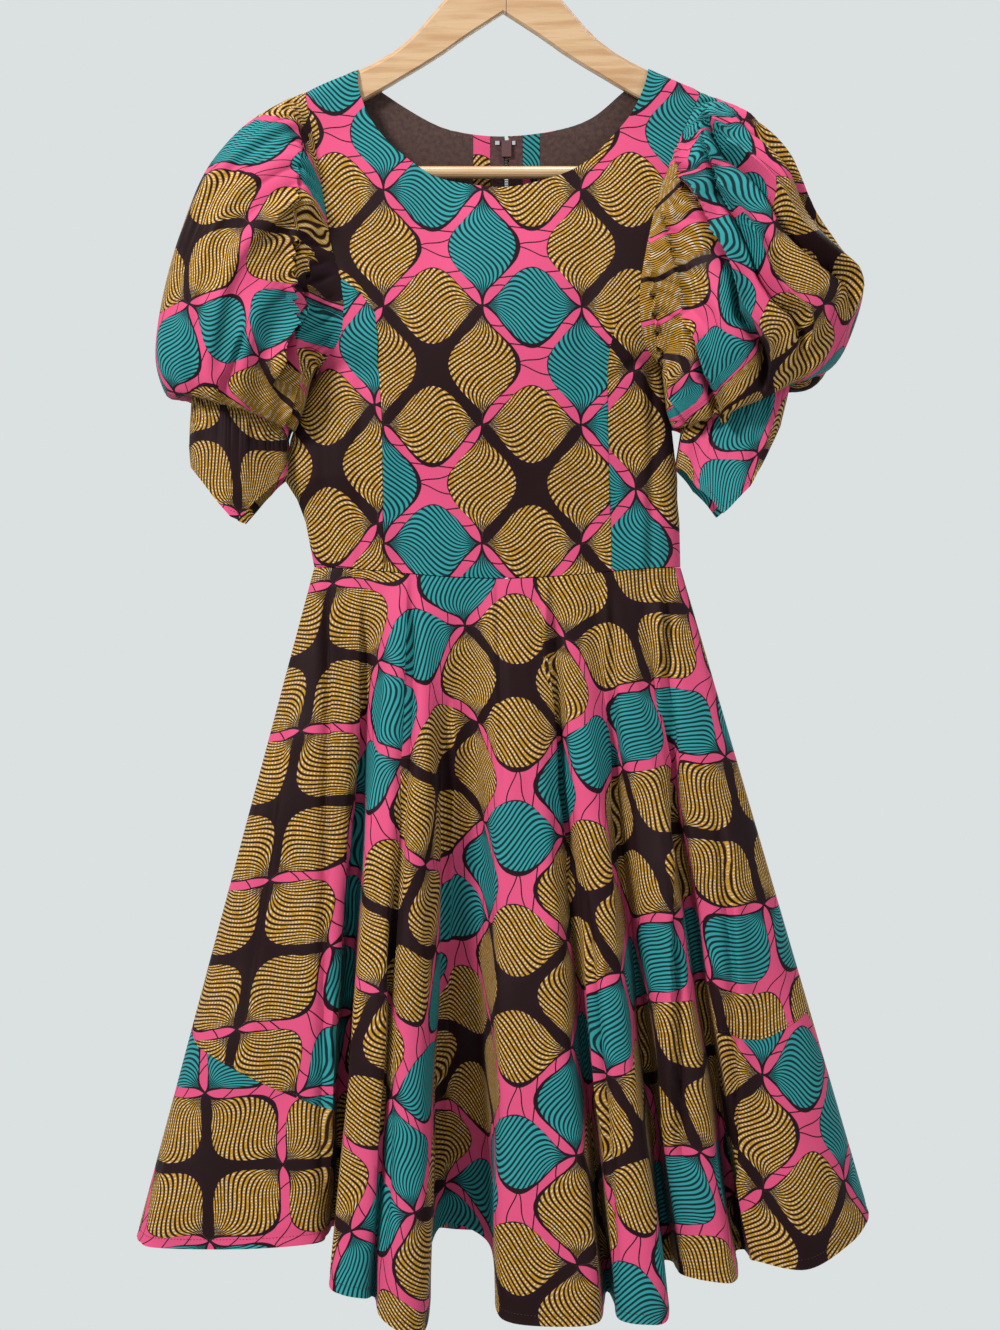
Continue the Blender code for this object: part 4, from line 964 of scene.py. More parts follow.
def build_lining(materials):
    """Lining, printed allowances and zip tapes, edge to edge across the inside of the back."""
    line = smooth_curve(BACK_NECK, 400)
    spans = (
        # name, near edge, far edge, columns, lower end, rows, finish
        ("back_lining_", ALLOWANCE_OUTER + SEAM_GAP, NECK_X - 3, 40, LINING_END_Z, 40, "lining"),
        ("zip_allowance_", ZIP_TAPE_OUTER + SEAM_GAP, ALLOWANCE_OUTER, 8, ZIP_END_Z, 120, "print_cloth"),
        ("zip_tape_", ZIP_TAPE_INNER, ZIP_TAPE_OUTER, 8, ZIP_END_Z, 120, "tape"),
    )
    for hand, sign in (("left", -1), ("right", 1)):
        for name, near, far, columns, bottom, rows, finish in spans:
            name += hand
            across = np.linspace(0, 1, columns)
            x = ZIP_X + np.linspace(*sorted((sign * near, sign * far)), columns)
            top = np.minimum(np.interp(x, line[:, 0], line[:, 1]) - 0.5, NECK_Z - LINING_DROP)
            z = top[:, None] + (bottom - top)[:, None] * np.linspace(0, 1, rows)[None, :]
            flat = np.stack([np.broadcast_to(x[:, None], z.shape), z], axis=-1)
            grid, normals = bodice_points(flat, "back")
            ripple = waves(flat[..., 0], z, SEEDS["lining"], LINING_WAVE, 0.25)
            ripple += 0.25 * bell(across[:, None] - 0.5, 0.3)
            grid = grid - normals * ripple[..., None]
            uv = place_print(name, flat[..., 0], z, grid)
            obj = shell(name, grid, normals, uv, LINING_WALL, materials[finish], lift=LINING_OFFSET)
            put_in_place(obj, name)


def line_on(grid, normals, row, up, lift=THREAD_LIFT):
    """A point on each of the grid's lines, up from its given row, lifted off the cloth."""
    run = running(grid, 1)
    raised = grid + normals * lift
    at = run[:, row] - up
    return np.vstack([at_lengths([at[i]], run[i], raised[i]) for i in range(len(grid))])


def neck_lines():
    """Lines just below the back neck's edge, on the lining and on the outside, clear of the zip."""
    line = smooth_curve(BACK_NECK, 300)
    made = []
    for sign in (-1, 1):
        past_zip = sign * (line[:, 0] - ZIP_X) > NECK_STITCH_FROM_ZIP
        here = line[past_zip & (np.abs(line[:, 0]) < NECK_STITCH_END)] - (0, NECK_STITCH_DOWN)
        points, normals = bodice_points(here, "back")
        made.append(points - normals * (LINING_OFFSET + 0.9))
        made.append(points + normals * 0.2)
    return made


def skirt_stitch_lines(side, skirt):
    """Lines of the hem's stitching and of the corner seams' stitching."""
    grid, normals, _, shares, hem_length = skirt_surface(side, skirt, -1)
    seam = line_on(grid, normals, skirt.upper_rows - 1, SEAM_STITCH_UP)
    left, right = (corner_end(side, hand, shares, hem_length) for hand in ("left", "right"))
    return [line_on(grid, normals, -1, HEM_STITCH_UP), seam[2:left], seam[right + 1:-2]]


def repeat_tree():
    """Rounded pieces set along lines at even steps: stitches, or the coils of a zip."""
    tree = bpy.data.node_groups.new("Repeat Along Line", "GeometryNodeTree")
    tree.interface.new_socket("Geometry", in_out="INPUT", socket_type="NodeSocketGeometry")
    for label in ("Pitch", "Length", "Depth", "Width", "Unevenness"):
        tree.interface.new_socket(label, in_out="INPUT", socket_type="NodeSocketFloat")
    tree.interface.new_socket("Seed", in_out="INPUT", socket_type="NodeSocketInt")
    tree.interface.new_socket("Material", in_out="INPUT", socket_type="NodeSocketMaterial")
    tree.interface.new_socket("Geometry", in_out="OUTPUT", socket_type="NodeSocketGeometry")
    add, link = tree.nodes.new, tree.links.new
    given = add("NodeGroupInput").outputs
    curve = add("GeometryNodeMeshToCurve")
    points = add("GeometryNodeCurveToPoints")
    points.mode = "LENGTH"
    turn = add("FunctionNodeAlignRotationToVector")
    turn.axis = "X"
    piece = add("GeometryNodeMeshIcoSphere")
    piece.inputs["Radius"].default_value = 0.5
    piece.inputs["Subdivisions"].default_value = 1
    size = add("ShaderNodeCombineXYZ")
    uneven = add("FunctionNodeRandomValue")
    least = add("ShaderNodeMath")
    least.operation = "SUBTRACT"
    least.inputs[0].default_value = 1.0
    scale = add("ShaderNodeVectorMath")
    scale.operation = "SCALE"
    instances = add("GeometryNodeInstanceOnPoints")
    real = add("GeometryNodeRealizeInstances")
    coloured = add("GeometryNodeSetMaterial")
    link(given["Geometry"], curve.inputs["Mesh"])
    link(curve.outputs["Curve"], points.inputs["Curve"])
    link(given["Pitch"], points.inputs["Length"])
    link(points.outputs["Tangent"], turn.inputs["Vector"])
    for label, axis in (("Length", "X"), ("Depth", "Y"), ("Width", "Z")):
        link(given[label], size.inputs[axis])
    link(given["Unevenness"], least.inputs[1])
    link(least.outputs[0], next(s for s in uneven.inputs if s.name == "Min" and s.enabled))
    next(s for s in uneven.inputs if s.name == "Max" and s.enabled).default_value = 1.0
    link(given["Seed"], uneven.inputs["Seed"])
    link(size.outputs[0], scale.inputs[0])
    link(next(s for s in uneven.outputs if s.enabled), scale.inputs["Scale"])
    link(points.outputs["Points"], instances.inputs["Points"])
    link(piece.outputs["Mesh"], instances.inputs["Instance"])
    link(turn.outputs["Rotation"], instances.inputs["Rotation"])
    link(scale.outputs[0], instances.inputs["Scale"])
    link(instances.outputs["Instances"], real.inputs["Geometry"])
    link(real.outputs["Geometry"], coloured.inputs["Geometry"])
    link(given["Material"], coloured.inputs["Material"])
    link(coloured.outputs["Geometry"], add("NodeGroupOutput").inputs["Geometry"])
    return tree


def repeat_along(name, lines, values, material):
    """Pieces along lines of points in mm, made by Geometry Nodes and kept as a plain mesh."""
    points = np.vstack(lines) * MM
    edges = []
    start = 0
    for line in lines:
        edges += [(start + k, start + k + 1) for k in range(len(line) - 1)]
        start += len(line)
    data = bpy.data.meshes.new(name)
    data.from_pydata(points.tolist(), edges, [])
    obj = bpy.data.objects.new(name, data)
    bpy.context.scene.collection.objects.link(obj)
    tree = bpy.data.node_groups.get("Repeat Along Line") or repeat_tree()
    modifier = obj.modifiers.new("Repeat", "NODES")
    modifier.node_group = tree
    values = {**values, "Seed": SEEDS["thread"], "Material": material}
    for socket in tree.interface.items_tree:
        if socket.in_out == "INPUT" and socket.name in values:
            modifier[socket.identifier] = values[socket.name]
    bpy.context.view_layer.update()
    made = obj.evaluated_get(bpy.context.evaluated_depsgraph_get())
    made = bpy.data.meshes.new_from_object(made)
    obj.modifiers.clear()
    obj.data = made
    if not made.polygons:
        raise RuntimeError(name + " has no pieces")
    made.shade_smooth()
    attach(obj, "root")
    return obj


class Nodes:
    """Writes formulas as shader nodes: numbers and sockets go in, a socket comes out."""

    def __init__(self, tree):
        self.tree = tree

    def fill(self, sockets, values):
        """Sets each socket to its number, or links it."""
        for socket, value in zip(sockets, values):
            if isinstance(value, (int, float)):
                socket.default_value = value
            else:
                self.tree.links.new(value, socket)

    def math(self, operation, *values):
        node = self.tree.nodes.new("ShaderNodeMath")
        node.operation = operation
        self.fill(node.inputs, values)
        return node.outputs[0]

    def absolute(self, value):
        return self.math("ABSOLUTE", value)

    def divide(self, a, b):
        return self.math("DIVIDE", a, b)

    def add(self, a, b):
        return self.math("ADD", a, b)

    def sub(self, a, b):
        return self.math("SUBTRACT", a, b)

    def mul(self, a, b):
        return self.math("MULTIPLY", a, b)

    def fit(self, value, low, high, to_low=0.0, to_high=1.0):
        """Smooth step of a value between two limits, turned into another range."""
        node = self.tree.nodes.new("ShaderNodeMapRange")
        node.interpolation_type = "SMOOTHSTEP"
        self.fill(node.inputs, (value, low, high, to_low, to_high))
        return node.outputs["Result"]

    def mix(self, share, one, other):
        """A colour between two colours or colour sockets."""
        node = self.tree.nodes.new("ShaderNodeMix")
        node.data_type = "RGBA"
        sockets = [s for s in node.inputs if s.enabled]
        for name, value in (("Factor", share), ("A", one), ("B", other)):
            socket = next(s for s in sockets if s.name == name)
            if isinstance(value, bpy.types.NodeSocket):
                self.tree.links.new(value, socket)
            else:
                socket.default_value = value if name == "Factor" else (*value, 1.0)
        return next(s for s in node.outputs if s.enabled)

    def noise(self, vector, scale, detail=2.0):
        node = self.tree.nodes.new("ShaderNodeTexNoise")
        node.inputs["Scale"].default_value = scale
        node.inputs["Detail"].default_value = detail
        self.tree.links.new(vector, node.inputs["Vector"])
        return node.outputs["Fac"]

    def bump(self, height, distance, strength=1.0):
        node = self.tree.nodes.new("ShaderNodeBump")
        node.inputs["Distance"].default_value = distance
        node.inputs["Strength"].default_value = strength
        self.tree.links.new(height, node.inputs["Height"])
        return node.outputs["Normal"]

    def split(self, vector):
        """The X, Y and Z outputs of a vector."""
        node = self.tree.nodes.new("ShaderNodeSeparateXYZ")
        self.tree.links.new(vector, node.inputs[0])
        return node.outputs

    def finish(self, colour, roughness=None, normal=None):
        """Joins the colour, the roughness and the normal to the material's shader."""
        shader = self.tree.nodes["Principled BSDF"]
        for name, socket in (("Base Color", colour), ("Roughness", roughness), ("Normal", normal)):
            if socket:
                self.tree.links.new(socket, shader.inputs[name])


def linear(red, green, blue):
    """Linear colour that shows as a display colour of 0 to 255 under the stage's light."""
    shares = (c / 255 for c in (red, green, blue))
    return tuple(REFLECTED * (c / 12.92 if c <= 0.04045 else ((c + 0.055) / 1.055) ** 2.4)
                 for c in shares)


def tones(name):
    """The two tones of a finish, as linear colours."""
    return [linear(*tone) for tone in TONES[name]]


def new_material(name, values):
    """A material with one shader set to the given values, and the helper that writes its nodes."""
    material = bpy.data.materials.new(name)
    material.use_nodes = True
    shader = material.node_tree.nodes["Principled BSDF"]
    for label, value in values.items():
        shader.inputs[label].default_value = value
    return material, Nodes(material.node_tree)


def nearest(n, index, odd):
    """The nearest even or odd whole number to a lattice coordinate."""
    shifted = n.sub(index, 1.0) if odd else index
    even = n.mul(n.math("ROUND", n.mul(shifted, 0.5)), 2.0)
    return n.add(even, 1.0) if odd else even


def is_third(n, value):
    """1 where a whole number divides by three."""
    third = n.divide(value, 3.0)
    return n.math("LESS_THAN", n.absolute(n.sub(third, n.math("ROUND", third))), 0.1)


def bulb(n, across, along, shape, cell_tip, lean):
    """Inside of a bulb, inside of its dark cell, the phase of its stripes and its fading tips."""
    half, tip, point, cell_half, power, shift, stripes, lean_count = shape
    q = n.math("MINIMUM", n.absolute(n.divide(along, tip)), 1.0)
    width = n.mul(n.math("POWER", n.sub(1.0, n.mul(q, q)), point), half)
    inside = n.fit(n.sub(width, n.absolute(across)), -0.25, 0.45)
    r = n.divide(along, cell_tip)
    cell_round = n.math("POWER", n.math("MAXIMUM", n.sub(1.0, n.mul(r, r)), 0.0), power)
    cell = n.add(n.mul(cell_round, cell_half - 1.0), 1.0)
    in_cell = n.fit(n.sub(cell, n.absolute(n.sub(across, n.mul(cell_round, shift)))), -0.3, 0.3)
    s = n.divide(across, n.add(width, 3.0))
    turn = n.math("SINE", n.mul(n.divide(along, tip), math.pi / 2))
    phase = n.add(n.mul(s, stripes), n.mul(turn, n.mul(lean, lean_count)))
    return inside, in_cell, phase, n.fit(q, 0.62, 0.92)


def gold_stripes(n, given, dx, dy, wave):
    """Gold with short cream dashes in patches, as the wax leaves them."""
    dark, gold = tones("gold")
    patch = n.fit(n.noise(given, 0.16, 2.0), 0.36, 0.53)
    dash = n.fit(n.math("SINE", n.mul(n.sub(dx, dy), 1.45)), 0.0, 0.7)
    creamy = n.mul(n.mul(patch, dash), n.fit(wave, 0.2, 0.8))
    return dark, n.mix(n.mul(creamy, 0.9), gold, linear(*CREAM))


def crackle(n, sx, sy):
    """Thin curved lines in the pink ground: a fork, a cap over each end and two long ones."""
    bend = n.mul(n.math("SINE", n.mul(sx, 0.16)), 1.6)
    fork = n.add(sx, 15.0)
    lines = [n.absolute(n.sub(sy, n.add(n.mul(fork, slope), bend))) for slope in (-0.30, 0.27)]
    lines.append(n.absolute(n.add(n.sub(n.absolute(sy), 37.0), bend)))
    lines.append(n.absolute(n.add(n.sub(n.absolute(n.sub(sy, 4.0)), 21.0), n.mul(sx, 0.12))))
    thin = lines[0]
    for line in lines[1:]:
        thin = n.math("MINIMUM", thin, line)
    return n.fit(thin, 0.38, 0.80, 1.0, 0.0)


def print_group(settings):
    """The ogee print: bulbs of stripes in two colours on pink and dark ground, from a place in mm."""
    tree = bpy.data.node_groups.new("Ogee Print", "ShaderNodeTree")
    tree.interface.new_socket("Place", in_out="INPUT", socket_type="NodeSocketVector")
    tree.interface.new_socket("Color", in_out="OUTPUT", socket_type="NodeSocketColor")
    given = tree.nodes.new("NodeGroupInput").outputs["Place"]
    made = tree.nodes.new("NodeGroupOutput")
    n = Nodes(tree)
    place = n.split(given)
    wobble = n.mul(n.sub(n.noise(given, 0.05, 1.0), 0.5), WOBBLE)
    ragged = n.mul(n.sub(n.noise(given, 0.9, 2.0), 0.5), RAGGED)
    w, h = settings.column_width, settings.row_height
    column = n.divide(n.add(place["X"], n.add(wobble, ragged)), w)
    row = n.divide(n.sub(ragged, place["Y"]), h)
    outline = linear(*OUTLINE)
    shades = {}
    centres = {}
    for kind, shape in BULBS.items():
        odd = kind == "level"
        near_column, near_row = nearest(n, column, odd), nearest(n, row, odd)
        centres[kind] = (near_column, near_row)
        dx = n.add(n.mul(n.sub(column, near_column), w), BULB_OFFSET[0])
        dy = n.add(n.mul(n.sub(row, near_row), h), BULB_OFFSET[1])
        across, along = (dy, dx) if odd else (dx, dy)
        is_teal = is_third(n, n.mul(n.sub(near_row, near_column), 0.5))
        lean = n.sub(1.0, n.mul(is_teal, 2.0))
        inside, in_cell, phase, fade = bulb(n, across, along, shape, w if odd else h, lean)
        wave = n.math("SINE", n.mul(phase, 2 * math.pi))
        stripe = n.fit(wave, n.fit(fade, 0.0, 1.0, -0.6, 0.45), n.fit(fade, 0.0, 1.0, 0.35, 1.1))
        golden = n.mix(stripe, *gold_stripes(n, given, dx, dy, wave))
        watery = n.mix(stripe, *tones("teal"))
        shades[kind] = (in_cell, n.mix(inside, outline, n.mix(is_teal, golden, watery)), dx, dy)
    star = n.mul(n.sub(n.sub(centres["upright"][1], centres["level"][0]), 1.0), 0.5)
    beside_teal = n.math("MAXIMUM", is_third(n, star), is_third(n, n.add(star, 1.0)))
    veins = crackle(n, shades["level"][2], shades["upright"][3])
    pink = linear(*(int(c) for c in settings.pink))
    ground = n.mix(beside_teal, linear(*DARK_GROUND), n.mix(veins, pink, outline))
    for in_cell, shade, _, _ in shades.values():
        ground = n.mix(in_cell, ground, shade)
    tree.links.new(ground, made.inputs["Color"])
    return tree


def cloth_place(n):
    """The place on the cloth in mm, from the piece's UV."""
    source = n.tree.nodes.new("ShaderNodeUVMap")
    source.uv_map = "UVMap"
    scaled = n.tree.nodes.new("ShaderNodeVectorMath")
    scaled.operation = "SCALE"
    scaled.inputs["Scale"].default_value = 1000.0
    n.tree.links.new(source.outputs["UV"], scaled.inputs[0])
    return scaled.outputs["Vector"]


def weave_height(n, place, pitch):
    """Plain weave: threads over and under each other at the given pitch in mm."""
    axes = n.split(place)
    over, under = (n.math("SINE", n.mul(axes[axis], math.pi / pitch)) for axis in ("X", "Y"))
    return n.add(n.mul(over, under), n.noise(place, 0.5, 3.0))


def print_material(settings):
    """The printed cotton: the ogee print, a little worn, on a fine weave."""
    material, n = new_material("print_cloth_look", {
        "Roughness": 0.62, "Sheen Weight": 0.02, "Sheen Roughness": 0.45, "Specular IOR Level": 0.08})
    place = cloth_place(n)
    group = n.tree.nodes.new("ShaderNodeGroup")
    group.node_tree = print_group(settings)
    n.tree.links.new(place, group.inputs["Place"])
    worn = n.fit(n.noise(place, 0.012, 3.0), 0.3, 0.75, 0.0, 0.10)
    roughness = n.fit(n.noise(place, 0.02, 2.0), 0.3, 0.7, 0.56, 0.72)
    n.finish(n.mix(worn, group.outputs["Color"], WORN), roughness,
             n.bump(weave_height(n, place, 0.45), 0.00005, 0.35))


def plain_cloth_material(name, pitch, roughness):
    """Plain woven cloth with slubs, for the lining and the tapes."""
    material, n = new_material(name + "_look", {
        "Roughness": roughness, "Sheen Weight": 0.02, "Specular IOR Level": 0.2})
    place = cloth_place(n)
    slub = n.noise(place, 0.25, 4.0)
    n.finish(n.mix(n.fit(slub, 0.3, 0.7), *tones(name)),
             n.fit(slub, 0.2, 0.8, roughness - 0.06, roughness + 0.06),
             n.bump(weave_height(n, place, pitch), 0.00006, 0.5))


def object_place(n, scale):
    """Object coordinates in mm, stretched along each axis."""
    source = n.tree.nodes.new("ShaderNodeTexCoord")
    mapping = n.tree.nodes.new("ShaderNodeMapping")
    mapping.inputs["Scale"].default_value = [s * 1000 for s in scale]
    n.tree.links.new(source.outputs["Object"], mapping.inputs["Vector"])
    return mapping.outputs["Vector"]


def wood_material():
    """Pale varnished wood with grain along the arms and the glued joint in the middle."""
    material, n = new_material("hanger_wood_look", {
        "Roughness": 0.38, "Coat Weight": 0.25, "Coat Roughness": 0.25})
    grain = n.noise(object_place(n, (0.012, 0.28, 0.16)), 1.0, 6.0)
    pores = n.noise(object_place(n, (0.05, 1.6, 1.6)), 1.0, 2.0)
    pale = n.mix(n.fit(grain, 0.35, 0.7), *tones("wood"))
    tone = n.mix(n.fit(pores, 0.60, 0.75, 0.0, 0.35), pale, linear(*WOOD_PORE))
    place = n.split(object_place(n, (1, 1, 1)))
    joint = n.fit(n.absolute(n.sub(place["X"], 3.0)), 0.25, 0.8, 0.75, 0.0)
    joint = n.mul(joint, n.fit(place["Z"], -140.0, -130.0))
    height = n.sub(n.mul(grain, 0.5), joint)
    n.finish(n.mix(joint, tone, linear(*WOOD_JOINT)), n.fit(grain, 0.3, 0.7, 0.32, 0.46),
             n.bump(height, 0.0004, 0.5))


def two_tone_material(name, stretch, detail, pair, roughness, values):
    """A hard or twisted finish that drifts between two tones and two roughnesses over the piece."""
    material, n = new_material(name + "_look", values)
    cloud = n.fit(n.noise(object_place(n, stretch), 1.0, detail), 0.3, 0.7)
    spread = n.add(n.mul(cloud, roughness[1] - roughness[0]), roughness[0])
    n.finish(n.mix(cloud, *pair), spread)


def looks():
    """The materials, made once and shared by the operators."""
    if "print_cloth_look" not in bpy.data.materials:
        print_material(bpy.context.scene.dress_print)
        plain_cloth_material("lining", 0.4, 0.62)
        plain_cloth_material("tape", 0.35, 0.7)
        for name in ("thread", "dark_thread"):
            two_tone_material(name, (1.5, 1.5, 1.5), 3.0, tones(name), (0.5, 0.65), {"Roughness": 0.55})
        wood_material()
        two_tone_material("steel", (0.2, 0.2, 0.6), 4.0, STEEL, (0.15, 0.27),
                          {"Roughness": 0.2, "Metallic": 1.0})
        two_tone_material("zip", (0.6, 0.6, 0.6), 3.0, tones("zip"), (0.28, 0.42),
                          {"Roughness": 0.35, "Coat Weight": 0.2})
    names = ("print_cloth", "lining", "tape", "thread", "dark_thread", "hanger_wood", "steel", "zip")
    return {name: bpy.data.materials[name + "_look"] for name in names}


def millimetres(name, description, default, low, high):
    return bpy.props.FloatProperty(name=name, description=description + ", in mm", default=default,
                                   min=low, max=high)


def metres(name, description, default, low, high):
    return bpy.props.FloatProperty(name=name, description=description, default=default, min=low, max=high,
                                   unit="LENGTH", subtype="DISTANCE")


def number(name, description, default, low, high):
    return bpy.props.IntProperty(name=name, description=description, default=default, min=low, max=high)


class ClothSettings(bpy.types.PropertyGroup):
    wall: millimetres("Cloth wall", "Thickness of the shown cloth", 1.2, 0.4, 1.5)
    seam_sink: millimetres("Seam sink", "How far the cloth dips at a seam", 0.9, 0.0, 3.0)
    wave_height: millimetres("Wave height", "Height of soft uneven waves", 0.9, 0.0, 4.0)


class SleeveSettings(bpy.types.PropertyGroup):
    around: number("Points around", "Points round each sleeve", 420, 60, 600)
    puff_rows: number("Puff rows", "Rows from the armhole to the tier", 84, 12, 160)
    tier_rows: number("Tier rows", "Rows down the lower tier", 26, 4, 60)
    gathers: number("Gathers", "Small folds round the armhole", 46, 4, 90)
    gather_depth: millimetres("Gather depth", "Depth of the small folds", 5.0, 0.0, 9.0)
    tuck: millimetres("Tuck", "How far the underarm lies over the bodice", 13.0, 0.0, 20.0)


class SkirtSettings(bpy.types.PropertyGroup):
    spacing: millimetres("Line spacing", "Distance between lines at the hem", 3.9, 2.0, 20.0)
    upper_rows: number("Upper rows", "Rows above the corner seams", 52, 4, 120)
    lower_rows: number("Lower rows", "Rows below the corner seams", 30, 4, 80)
    wave_height: millimetres("Wave height", "Height of soft uneven waves", 1.6, 0.0, 6.0)
    hem_sink: millimetres("Hem line", "Depth of the line stitched above the hem", 0.8, 0.0, 3.0)


class PrintSettings(bpy.types.PropertyGroup):
    column_width: millimetres("Column width", "Distance between bulb columns", 45.6, 10.0, 200.0)
    row_height: millimetres("Row height", "Half the upright repeat", 54.4, 10.0, 200.0)
    pink: bpy.props.FloatVectorProperty(
        name="Pink", description="Display colour of the pink ground, 0 to 255", size=3,
        default=(248.0, 92.0, 140.0), min=0.0, max=255.0)


class StitchSettings(bpy.types.PropertyGroup):
    pitch: metres("Stitch pitch", "From one stitch to the next", 0.0031, 0.001, 0.01)
    length: metres("Stitch length", "Length of a stitch that shows", 0.0024, 0.0005, 0.01)
    thread: metres("Thread", "Thickness of the sewing thread", 0.0006, 0.0002, 0.002)
    coil: metres("Zip coil pitch", "From one coil of the zip to the next", 0.0016, 0.0008, 0.005)


class StageSettings(bpy.types.PropertyGroup):
    distance: metres("Camera distance", "From the camera to the dress", 2.6, 1.0, 8.0)
    view_height: metres("View height", "Height that the frame shows at the dress", 1.237, 0.3, 4.0)
    centre_x: metres("Centre across", "Middle of the frame across", -0.003, -2.0, 2.0)
    centre_z: metres("Centre height", "Middle of the frame in height", -0.707, -4.0, 2.0)


class DRESS_OT_bodice(bpy.types.Operator):
    """Builds the front panels and back panels of the bodice."""
    bl_idname = "dress.bodice"
    bl_label = "Bodice"

    def execute(self, context):
        build_front_bodice(context.scene.dress_cloth, looks()["print_cloth"])
        build_back_bodice(context.scene.dress_cloth, looks()["print_cloth"])
        return {"FINISHED"}


class DRESS_OT_sleeves(bpy.types.Operator):
    """Builds both puff sleeves with their gathers and lower tiers."""
    bl_idname = "dress.sleeves"
    bl_label = "Sleeves"

    def execute(self, context):
        scene = context.scene
        for hand in ("left", "right"):
            build_sleeve(hand, scene.dress_sleeve, scene.dress_cloth, looks()["print_cloth"])
        return {"FINISHED"}


class DRESS_OT_skirt(bpy.types.Operator):
    """Builds the folded skirt with its pieced corners."""
    bl_idname = "dress.skirt"
    bl_label = "Skirt"

    def execute(self, context):
        scene = context.scene
        for side in ("front", "back"):
            build_skirt(side, scene.dress_cloth, scene.dress_skirt, looks()["print_cloth"])
        return {"FINISHED"}


class DRESS_OT_lining(bpy.types.Operator):
    """Builds the lining, the zip's tapes and the printed allowances inside the back."""
    bl_idname = "dress.lining"
    bl_label = "Lining and tapes"

    def execute(self, context):
        build_lining(looks())
        return {"FINISHED"}


class DRESS_OT_stitching(bpy.types.Operator):
    """Sews the hems, corner seams and back neck, and fills the closed zip with its coil."""
    bl_idname = "dress.stitching"
    bl_label = "Stitching and zip coil"

    def execute(self, context):
        scene = context.scene
        made = looks()
        sewn = scene.dress_stitch
        stitch = {"Pitch": sewn.pitch, "Length": sewn.length, "Depth": sewn.thread, "Width": sewn.thread,
                  "Unevenness": 0.25}
        repeat_along("back_neck_stitches", neck_lines(), stitch, made["thread"])
        for side in ("front", "back"):
            lines = skirt_stitch_lines(side, scene.dress_skirt)
            repeat_along(side + "_skirt_stitches", lines, stitch, made["dark_thread"])
        for hand in ("left", "right"):
            grid, normals, _, _ = sleeve_surface(hand, scene.dress_sleeve, scene.dress_cloth)
            line = line_on(grid, normals, -1, SLEEVE_STITCH_UP)[3:-3]
            repeat_along("sleeve_" + hand + "_stitches", [line], stitch, made["dark_thread"])
        z = np.linspace(SLIDER_Z - COIL_START, ZIP_END_Z, 80)
        points, normals = bodice_points(np.column_stack([np.full(len(z), ZIP_X), z]), "back")
        coil = {"Pitch": sewn.coil, "Unevenness": 0.05, **COIL}
        line = points - normals * (LINING_OFFSET + 1.0)
        obj = repeat_along("zip_coil", [line], coil, made["thread"])
        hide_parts("zip_chain")
        return {"FINISHED"}


class DRESS_OT_finishes(bpy.types.Operator):
    """Gives the hanger, hook, slider, pull tab and fastening their finishes."""
    bl_idname = "dress.finishes"
    bl_label = "Hanger and metal"

    def execute(self, context):
        made = looks()
        choice = {"hanger_body": "hanger_wood", "hanger_bar": "hanger_wood", "hanger_hook": "steel",
                  "zip_slider": "zip", "zip_pull_tab": "zip", "neck_hook": "steel", "neck_eye": "steel"}
        for node, look in choice.items():
            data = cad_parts[node].data
            data.materials.clear()
            data.materials.append(made[look])
        return {"FINISHED"}


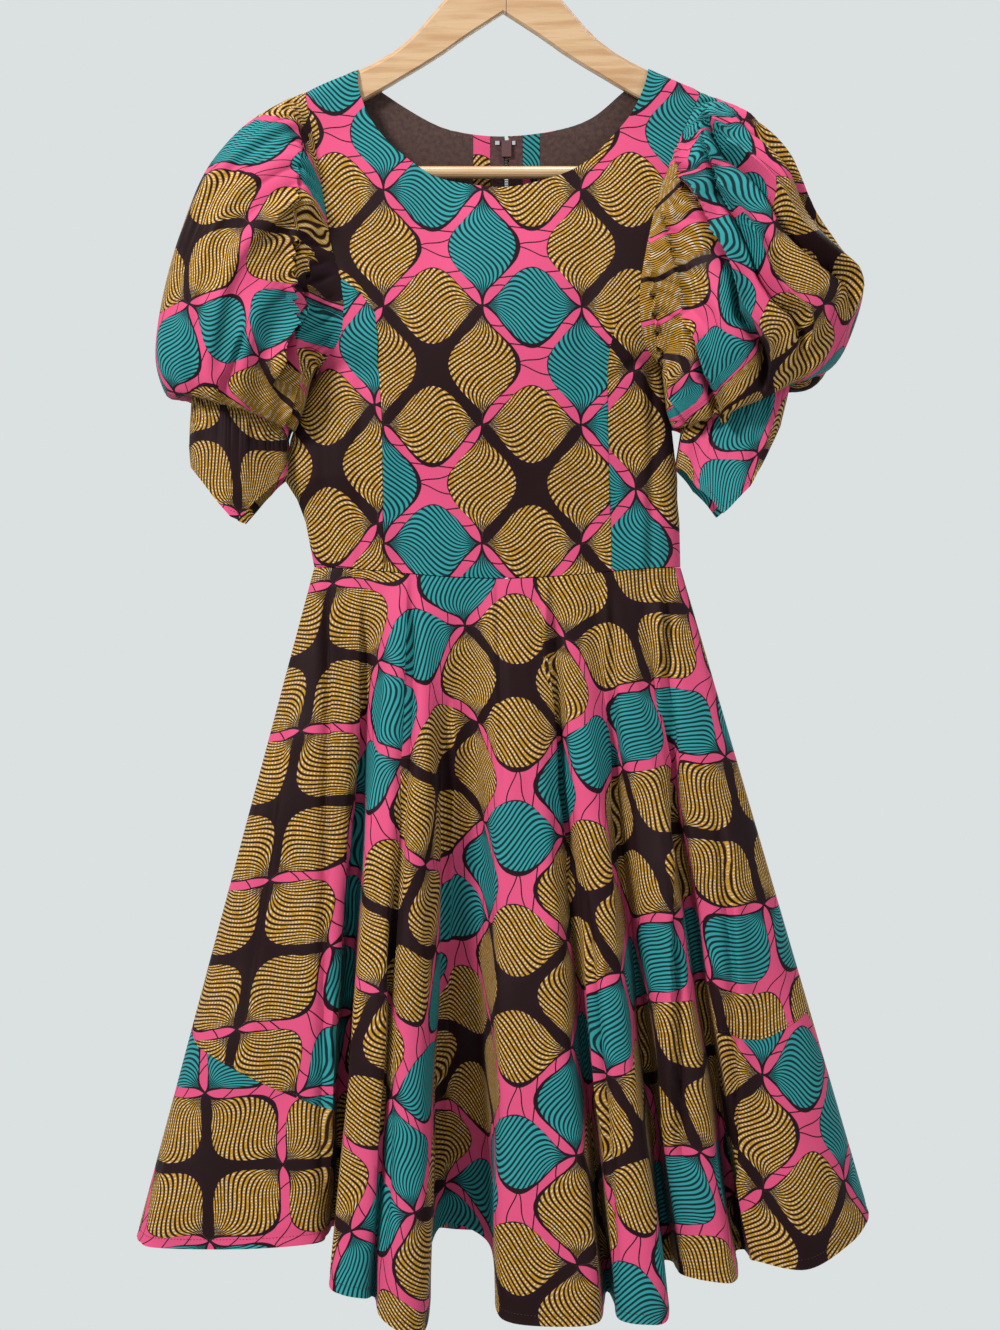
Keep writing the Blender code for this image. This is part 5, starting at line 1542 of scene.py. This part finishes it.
class DRESS_OT_stage(bpy.types.Operator):
    """Adds the floor, the lights, the pale world and the camera at the photograph's angle."""
    bl_idname = "dress.stage"
    bl_label = "Stage"

    def execute(self, context):
        settings = context.scene.dress_stage
        low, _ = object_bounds()
        bpy.ops.mesh.primitive_plane_add(size=FLOOR_SIZE, location=(0.0, 0.0, low.z - FLOOR_BELOW))
        floor = context.object
        floor.name = "floor"
        material, n = new_material("floor_look", {"Roughness": 0.85})
        cloud = n.noise(object_place(n, (MM, MM, MM)), 1.5, 2.0)
        n.finish(n.mix(cloud, *FLOOR))
        floor.data.materials.append(material)
        floor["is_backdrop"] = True
        for name, (place, aim, power, size) in LIGHTS.items():
            light = bpy.data.lights.new(name, "AREA")
            light.energy = power
            light.size = size
            obj = bpy.data.objects.new(name, light)
            obj.location = place
            way = np.array(aim) - np.array(place)
            obj.rotation_euler = (math.atan2(math.hypot(way[0], way[1]), -way[2]), 0.0,
                                  math.atan2(way[1], way[0]) - math.pi / 2)
            context.scene.collection.objects.link(obj)
        world = bpy.data.worlds.new("studio")
        world.use_nodes = True
        back = world.node_tree.nodes["Background"]
        back.inputs["Color"].default_value = STUDIO
        back.inputs["Strength"].default_value = 1.0
        context.scene.world = world
        lens = bpy.data.cameras.new("camera")
        lens.sensor_width = SENSOR_MM
        lens.lens = SENSOR_MM * settings.distance / settings.view_height
        camera = bpy.data.objects.new("camera", lens)
        camera.location = (settings.centre_x, -settings.distance, settings.centre_z)
        camera.rotation_euler = (math.pi / 2, 0.0, 0.0)
        context.scene.collection.objects.link(camera)
        context.scene.camera = camera
        context.scene.view_settings.view_transform = "Standard"
        return {"FINISHED"}


class DRESS_PT_panel(bpy.types.Panel):
    """Settings and buttons of the dress."""
    bl_idname = "DRESS_PT_panel"
    bl_label = "Wax Print Dress"
    bl_space_type = "VIEW_3D"
    bl_region_type = "UI"
    bl_category = "Dress"

    def draw(self, context):
        for attribute in SETTINGS:
            group = getattr(context.scene, attribute)
            box = self.layout.box()
            for name in group.bl_rna.properties.keys():
                if name not in ("rna_type", "name"):
                    box.prop(group, name)
        for operator in OPERATORS:
            self.layout.operator(operator.bl_idname)


SETTINGS = {
    "dress_cloth": ClothSettings,
    "dress_sleeve": SleeveSettings,
    "dress_skirt": SkirtSettings,
    "dress_print": PrintSettings,
    "dress_stitch": StitchSettings,
    "dress_stage": StageSettings,
}
OPERATORS = (DRESS_OT_bodice, DRESS_OT_sleeves, DRESS_OT_skirt, DRESS_OT_lining, DRESS_OT_stitching,
             DRESS_OT_finishes, DRESS_OT_stage)


def register():
    for made in (*SETTINGS.values(), *OPERATORS, DRESS_PT_panel):
        bpy.utils.register_class(made)
    for attribute, group in SETTINGS.items():
        setattr(bpy.types.Scene, attribute, bpy.props.PointerProperty(type=group))


def unregister():
    for attribute in SETTINGS:
        delattr(bpy.types.Scene, attribute)
    for made in reversed((*SETTINGS.values(), *OPERATORS, DRESS_PT_panel)):
        bpy.utils.unregister_class(made)


def main():
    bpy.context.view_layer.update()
    register()
    bpy.ops.dress.bodice()
    bpy.ops.dress.sleeves()
    bpy.ops.dress.skirt()
    bpy.ops.dress.lining()
    bpy.ops.dress.stitching()
    bpy.ops.dress.finishes()
    bpy.ops.dress.stage()


if __name__ == "__main__":
    main()
